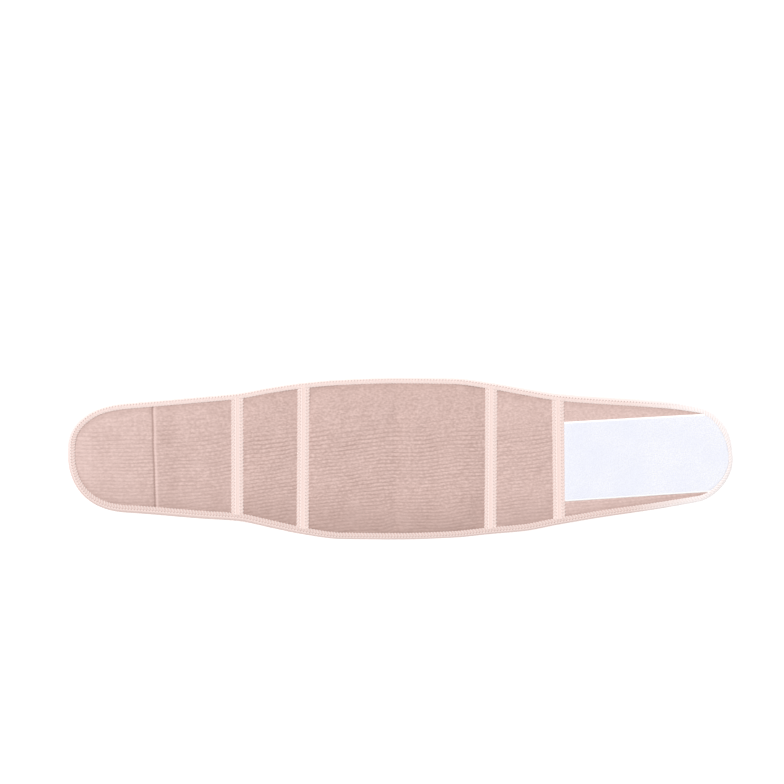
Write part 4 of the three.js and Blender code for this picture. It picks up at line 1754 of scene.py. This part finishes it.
        count = stations // self.steps
        for face, wide in ((Face.OUTER, width), (Face.INNER, np.full_like(width, PLAN.INNER_BINDING))):
            def point(share: float, at: float, over: float) -> Array:
                """A point of the thread on this flange."""
                station, part = divmod(at * self.steps, 1)
                near = int(station) % stations
                far = (near + 1) % stations
                base = points[near] * (1 - part) + points[far] * part
                normal = inward[near] * (1 - part) + inward[far] * part
                wide_here = wide[near] * (1 - part) + wide[far] * part
                inset = share * min(self.stitching.row, self.pinched * wide_here)
                from_edge, along_edge = np.array([[max(inset, self.stitching.turned)]]), np.array([[at]])
                z = self.flange(face, np.array([[wide_here]]), from_edge, base[None, :], along_edge)
                drawn = float(self.stitching.scallop(np.array(inset), np.array(at)))
                inwards = np.array([[wide_here - inset - drawn]])
                spot = base + normal * float(self.filled(base[None, :], width[near], inwards)[0, 0])
                level = float(z[0, 0]) + face.value * over
                return np.array([spot[0], spot[1], max(level, self.stitching.thread)])
            mesh = thread_mesh("thread", self.stitching.route(count, point), self.stitching.thread)
            made.append(place_mesh(mesh, f"edge_binding_thread_{face.name.lower()}", thread))
        return made


@dataclass(frozen=True)
class LoopPatch:
    """The soft loop patch on the outer face, a slanting strip with woven edges.

    Attributes:
        height: Its width across the belt.
        tilt: Angle by which it slants up towards the rounded end.
        start_level: Y of its middle line at the tape.
        selvedge: Width of its woven edges.
        flare: How much lower its lower edge runs at the tape.
        cell: Size of its cells.
        inset: Distance from the outline at which it is cut, under the binding.
        end_inset: The same at the rounded end.
        under_tape: How far it goes on under the tape.
        under: How deep its back lies in the knit.
        name: Name of its solid.
    """

    height: float = 100 * MM
    tilt: float = math.radians(3.3)
    start_level: float = -3.2 * MM
    selvedge: float = 2.0 * MM
    flare: float = 1.9 * MM
    cell: float = 1.15 * MM
    inset: float = 3.4 * MM
    end_inset: float = 4.4 * MM
    under_tape: float = 2 * MM
    under: float = 0.15 * MM
    name: str = "loop_patch"

    @staticmethod
    def middle(x: Array) -> Array:
        """Y of the patch's middle line."""
        start = PLAN.seams[3] + PLAN.tape_half + PLAN.CLEARANCE
        return LoopPatch.start_level + (x - start) * math.tan(LoopPatch.tilt)

    def build(self, material: bpy.types.Material) -> bpy.types.Object:
        """Makes the patch.

        Args:
            material: The patch's finish.

        Returns:
            The finished piece.
        """
        start = PLAN.seams[3] + PLAN.tape_half - self.under_tape
        end = PLAN.loop_end - self.end_inset
        bm, along, across = grid_bmesh(round((end - start) / self.cell), round(self.height / self.cell))
        x = start + (end - start) * (1 - (1 - along) ** 1.5)
        low_line, high_line = self.middle(x) - self.height / 2, self.middle(x) + self.height / 2
        low_line = low_line - self.flare * (end - x) / (end - start)
        low_rail, high_rail = PLAN.rails(self.inset, x)
        low, high = np.maximum(low_line, low_rail), np.minimum(high_line, high_rail)
        y = low + (high - low) * across
        edge = np.minimum(y - low_line, high_line - y)
        bottom, top = PLAN.openings(Face.OUTER, x)
        opening = np.minimum(np.minimum(y - bottom, top - y), x - start - self.under_tape - 0.2 * MM)
        body = 0.6 * MM * np.sqrt(1 - (1 - np.clip(edge / (0.5 * MM), 0, 1)) ** 2)
        pile = 0.25 * MM * ease((edge - self.selvedge) / (1.5 * MM))
        fuzz = 0.16 * MM * ripple(x, y, 2.3 * MM, 31.0) + 0.12 * MM * ripple(x, y, 5.5 * MM, 32.0)
        cloud = 0.18 * MM * ripple(x, y, 18 * MM, 33.0) + 0.25 * MM * ripple(x, y, 55 * MM, 34.0)
        sewn = -0.12 * MM * valley(edge, 4.6 * MM, 0.9 * MM)
        held = ease((opening + 1 * MM) / (3 * MM))
        inside = ease((edge - self.selvedge) / (1.2 * MM))
        lift = 0.05 * MM + (body + pile + (fuzz + cloud + sewn) * inside) * held
        bm.verts.index_update()
        set_uv(bm, "patch", edge / MM, x / MM)
        set_places(bm, x, y, PLAN.knit_edge + lift)
        flat_area = area_of(bm)
        close_behind(bm, PLAN.knit_edge - self.under)
        piece = finish_piece(bm, f"{self.name}_pile", material, [self.name])
        declare_sheet((end - start, self.height), flat_area)
        return piece


@dataclass(frozen=True)
class HookPatch:
    """The hook patch on the inner face, out to the belt's rounded end.

    Attributes:
        row: Distance between the rows of hooks.
        step: Distance from hook to hook along a row.
        cell: Size of the ground's cells.
        inset: Distance from the outline at which it is cut, under the binding.
        end_inset: The same at the rounded end.
        selvedge: Width of its plain edge.
        ground: Height of the woven ground.
        hook: Radius of a hook.
        tip: Height of the hooks' tops.
        bent: How far a hook bends to one side.
        under: How deep its back lies in the velour.
        name: Name of its solid.
    """

    row: float = 2.7 * MM
    step: float = 1.7 * MM
    cell: float = 1.3 * MM
    inset: float = 3.4 * MM
    end_inset: float = 4.6 * MM
    selvedge: float = 2.4 * MM
    ground: float = 0.65 * MM
    hook: float = 0.11 * MM
    tip: float = 0.16 * MM
    bent: float = 0.5 * MM
    under: float = 0.15 * MM
    name: str = "hook_patch"

    def build(self, material: bpy.types.Material) -> list[bpy.types.Object]:
        """Makes the woven ground and its hooks.

        Args:
            material: The patch's finish.

        Returns:
            The ground and the hooks.
        """
        start, end = PLAN.hook_end + self.end_inset, PLAN.hook_edge
        low, high = PLAN.rails(self.inset, np.array([end]))
        height = float(high[0] - low[0])
        bm, along, across = grid_bmesh(round((end - start) / self.cell), round(height / self.cell))
        x = start + (end - start) * along**1.5
        low, high = PLAN.rails(self.inset, x)
        y = low + (high - low) * across
        edge = end - x
        ridge = 0.12 * MM * np.cos(2 * math.pi * y / self.row) * ease((edge - self.selvedge) / MM)
        bottom, top = PLAN.openings(Face.INNER, x)
        held = ease((np.minimum(y - bottom, top - y) + 1 * MM) / (3 * MM))
        under = PLAN.velour_edge - 0.06 * MM
        face_level = under + (self.ground - ridge + 0.1 * MM * ripple(x, y, 14 * MM, 41.0) - under) * held
        rim = 0.6 * MM * (1 - np.sqrt(1 - (1 - np.clip(edge / (0.8 * MM), 0, 1)) ** 2))
        bm.verts.index_update()
        set_uv(bm, "patch", edge / MM, y / self.row)
        set_places(bm, x, y, face_level + rim)
        flat_area = area_of(bm)
        close_behind(bm, PLAN.velour_edge + self.under)
        piece = finish_piece(bm, f"{self.name}_weave", material, [self.name])
        declare_sheet((end - start, height), flat_area)
        mesh = thread_mesh("hooks", self.hooks(start, end, under), self.hook)
        return [piece, place_mesh(mesh, f"{self.name}_hooks", material)]

    def hooks(self, start: float, end: float, root: float) -> list[Array]:
        """Routes the hooks, which bend to one side and to the other by turns.

        Args:
            start: X of the patch's rounded end.
            end: X of its straight edge.
            root: Height that the hooks start from.

        Returns:
            The points of each hook.
        """
        paths = []
        for number, x in enumerate(np.arange(start + self.step, end - self.selvedge, self.step)):
            low, high = PLAN.opening_at(Face.INNER, x)
            for row in range(math.ceil(low / self.row), math.floor(high / self.row) + 1):
                y = row * self.row
                lean = self.bent * (1 if (number + row) % 2 else -1)
                paths.append(np.array([[x, y, root], [x, y, self.tip], [x + lean, y, self.tip - 0.02 * MM]]))
        return paths


@dataclass(frozen=True)
class PatchSeam:
    """The line of stitches on the knit that holds the hook patch's edge.

    Attributes:
        stitch: Length of a stitch.
        gap: Distance from one stitch to the next.
        thread: Radius of the thread.
        profile: Points of a stitch, as shares of its length and millimetres over the cloth.
    """

    stitch: float = 2.6 * MM
    gap: float = 0.7 * MM
    thread: float = 0.18 * MM
    profile: tuple[tuple[float, float], ...] = ((0.0, -0.25), (0.2, 0.14), (0.8, 0.14), (1.0, -0.25))

    def build(self, cloth: bpy.types.Object, material: bpy.types.Material) -> bpy.types.Object:
        """Lays the stitches in the groove of the cloth.

        Args:
            cloth: The knit that carries them.
            material: The thread's finish.

        Returns:
            The finished stitches.
        """
        low, high = PLAN.opening_at(Face.OUTER, PLAN.hook_edge)
        paths = []
        for k in range(int((high - low) / (self.stitch + self.gap))):
            start = low + self.gap + k * (self.stitch + self.gap)
            points = []
            for share, rise in self.profile:
                y = start + self.stitch * share
                x = float(hook_line(np.array([y]))[0])
                hit, spot, _, _ = cloth.ray_cast(Vector((x, y, 0.05)), Vector((0, 0, -1)))
                points.append([x, y, (spot.z if hit else PLAN.knit_edge) + rise * MM])
            paths.append(np.array(points))
        mesh = thread_mesh("stitches", paths, self.thread)
        return place_mesh(mesh, "hook_patch_seam", material)


@dataclass(frozen=True)
class Studio:
    """Camera, light and floor.

    Attributes:
        view_width: What the picture shows at the belt's own level.
        centre: Middle of the picture.
        distance: Height of the camera.
        sensor: Width of the camera's sensor in millimetres.
        key: Strength of the soft key light.
        key_from: Where the key light comes from.
        sky: Strength of the even light from all round.
        floor_glow: Light that the floor gives of its own, as a light table does, to stay clean white.
    """

    view_width: float = 1.002
    centre: tuple[float, float] = (-10.4 * MM, 85 * MM)
    distance: float = 6.0
    sensor: float = 36.0
    key: float = 1.72
    key_from: tuple[float, float, float] = (-0.52, 0.62, 1.0)
    sky: float = 0.72
    floor_glow: float = 0.3

    def camera(self) -> None:
        """Sets the camera straight above, with a long lens."""
        data = bpy.data.cameras.new("camera")
        data.sensor_width = self.sensor
        data.lens = self.sensor * self.distance / self.view_width
        data.clip_end = 60
        camera = bpy.data.objects.new("camera", data)
        camera.location = (*self.centre, self.distance + PLAN.knit_edge)
        bpy.context.scene.collection.objects.link(camera)
        bpy.context.scene.camera = camera

    def light(self) -> None:
        """Lights the belt softly, most of it from above and from the far hook side."""
        data = bpy.data.lights.new("key", "SUN")
        data.energy = self.key
        data.angle = math.radians(60)
        lamp = bpy.data.objects.new("key", data)
        lamp.rotation_euler = (-Vector(self.key_from)).to_track_quat("-Z", "Y").to_euler()
        bpy.context.scene.collection.objects.link(lamp)
        world = bpy.data.worlds.new("studio")
        world.use_nodes = True
        background = world.node_tree.nodes["Background"]
        background.inputs["Color"].default_value = (1, 1, 1, 1)
        background.inputs["Strength"].default_value = self.sky
        bpy.context.scene.world = world
        bpy.context.scene.view_settings.view_transform = "Standard"
        bpy.context.scene.view_settings.look = "None"

    def floor(self) -> None:
        """Lays the plain pale floor."""
        bm = bmesh.new()
        bmesh.ops.create_grid(bm, x_segments=1, y_segments=1, size=12)
        for vert in bm.verts:
            vert.co.z = -0.2 * MM
        mesh = bpy.data.meshes.new("floor")
        bm.to_mesh(mesh)
        bm.free()
        finish = Finish("floor", roughness=0.9)
        finish.shader.inputs["Emission Color"].default_value = (1, 1, 1, 1)
        finish.shader.inputs["Emission Strength"].default_value = self.floor_glow
        grain = finish.noise(3, 2)
        mesh.materials.append(finish.dress(finish.blend(grain, (0.98, 0.98, 0.98, 1), (1, 1, 1, 1))))
        floor = bpy.data.objects.new("floor", mesh)
        bpy.context.scene.collection.objects.link(floor)


@dataclass(frozen=True)
class Belt:
    """The whole belt.

    Attributes:
        knit_crowns: Crowns of the five knit panels, as shares of the CAD's.
        knit_pales: How much each of them is faded.
        hook_end_pale: How much more the hook wing is faded over the hook patch.
        knit_cell: Size of the knit's cells before they are subdivided.
        velour_cell: The same for the velour.
        knit_settling: How the knit settles.
        velour_settling: How the velour settles.
    """

    knit_crowns: tuple[float, ...] = (0.5, 0.7, 1.0, 0.7, 0.0)
    knit_pales: tuple[float, ...] = (0.20, 0.04, 0.03, 0.18, 0.54)
    hook_end_pale: float = 0.30
    knit_cell: tuple[float, float] = (4.8 * MM, 3.0 * MM)
    velour_cell: tuple[float, float] = (5.6 * MM, 5.6 * MM)
    knit_settling: Settling = Settling(growth=0.003, pressure=0.2, reach=0.8 * MM)
    velour_settling: Settling = Settling(growth=0.006, pressure=0.2, reach=1.2 * MM)

    def build(self) -> None:
        """Makes every piece and reports it."""
        velour = VelourFinish().make()
        tape = TrimFinish("tape").make()
        binding = TrimFinish(
            "binding",
            plain=seen(255, 233, 228),
            gap=seen(238, 210, 203),
            hole=seen(200, 169, 161),
            pale_from=0.29,
            fold_row=1.06,
            fold_dark=0.6,
        ).make()
        thread, loop, hook = ThreadFinish().make(), LoopFinish().make(), HookFinish().make()
        cloths = {}
        for stretch, share, pale in zip(Stretch, self.knit_crowns, self.knit_pales):
            knit = KnitFinish(f"knit_{stretch.value}", pale, self.hook_end_pale).make()
            panel = KnitPanel(stretch, share * PLAN.knit_crown, self.knit_settling, self.knit_cell)
            cloths[stretch] = panel.build(knit)
        for stretch in Stretch:
            VelourPanel(stretch, PLAN.velour_edge, self.velour_settling, self.velour_cell).build(velour)
        for face in Face:
            for index in range(1, len(PLAN.seams) + 1):
                Tape(index, face).build(tape, thread)
        EdgeBinding().build(binding, thread)
        LoopPatch().build(loop)
        HookPatch().build(hook)
        seam = ThreadFinish("seam_thread", seen(206, 174, 166), seen(188, 157, 149)).make()
        PatchSeam().build(cloths[Stretch.HOOK_WING], seam)


def main() -> None:
    """Builds the studio and the belt."""
    logging.basicConfig(level=logging.INFO, format="%(name)s: %(message)s")
    studio = Studio()
    studio.camera()
    studio.light()
    studio.floor()
    Belt().build()


if __name__ == "__main__":
    main()
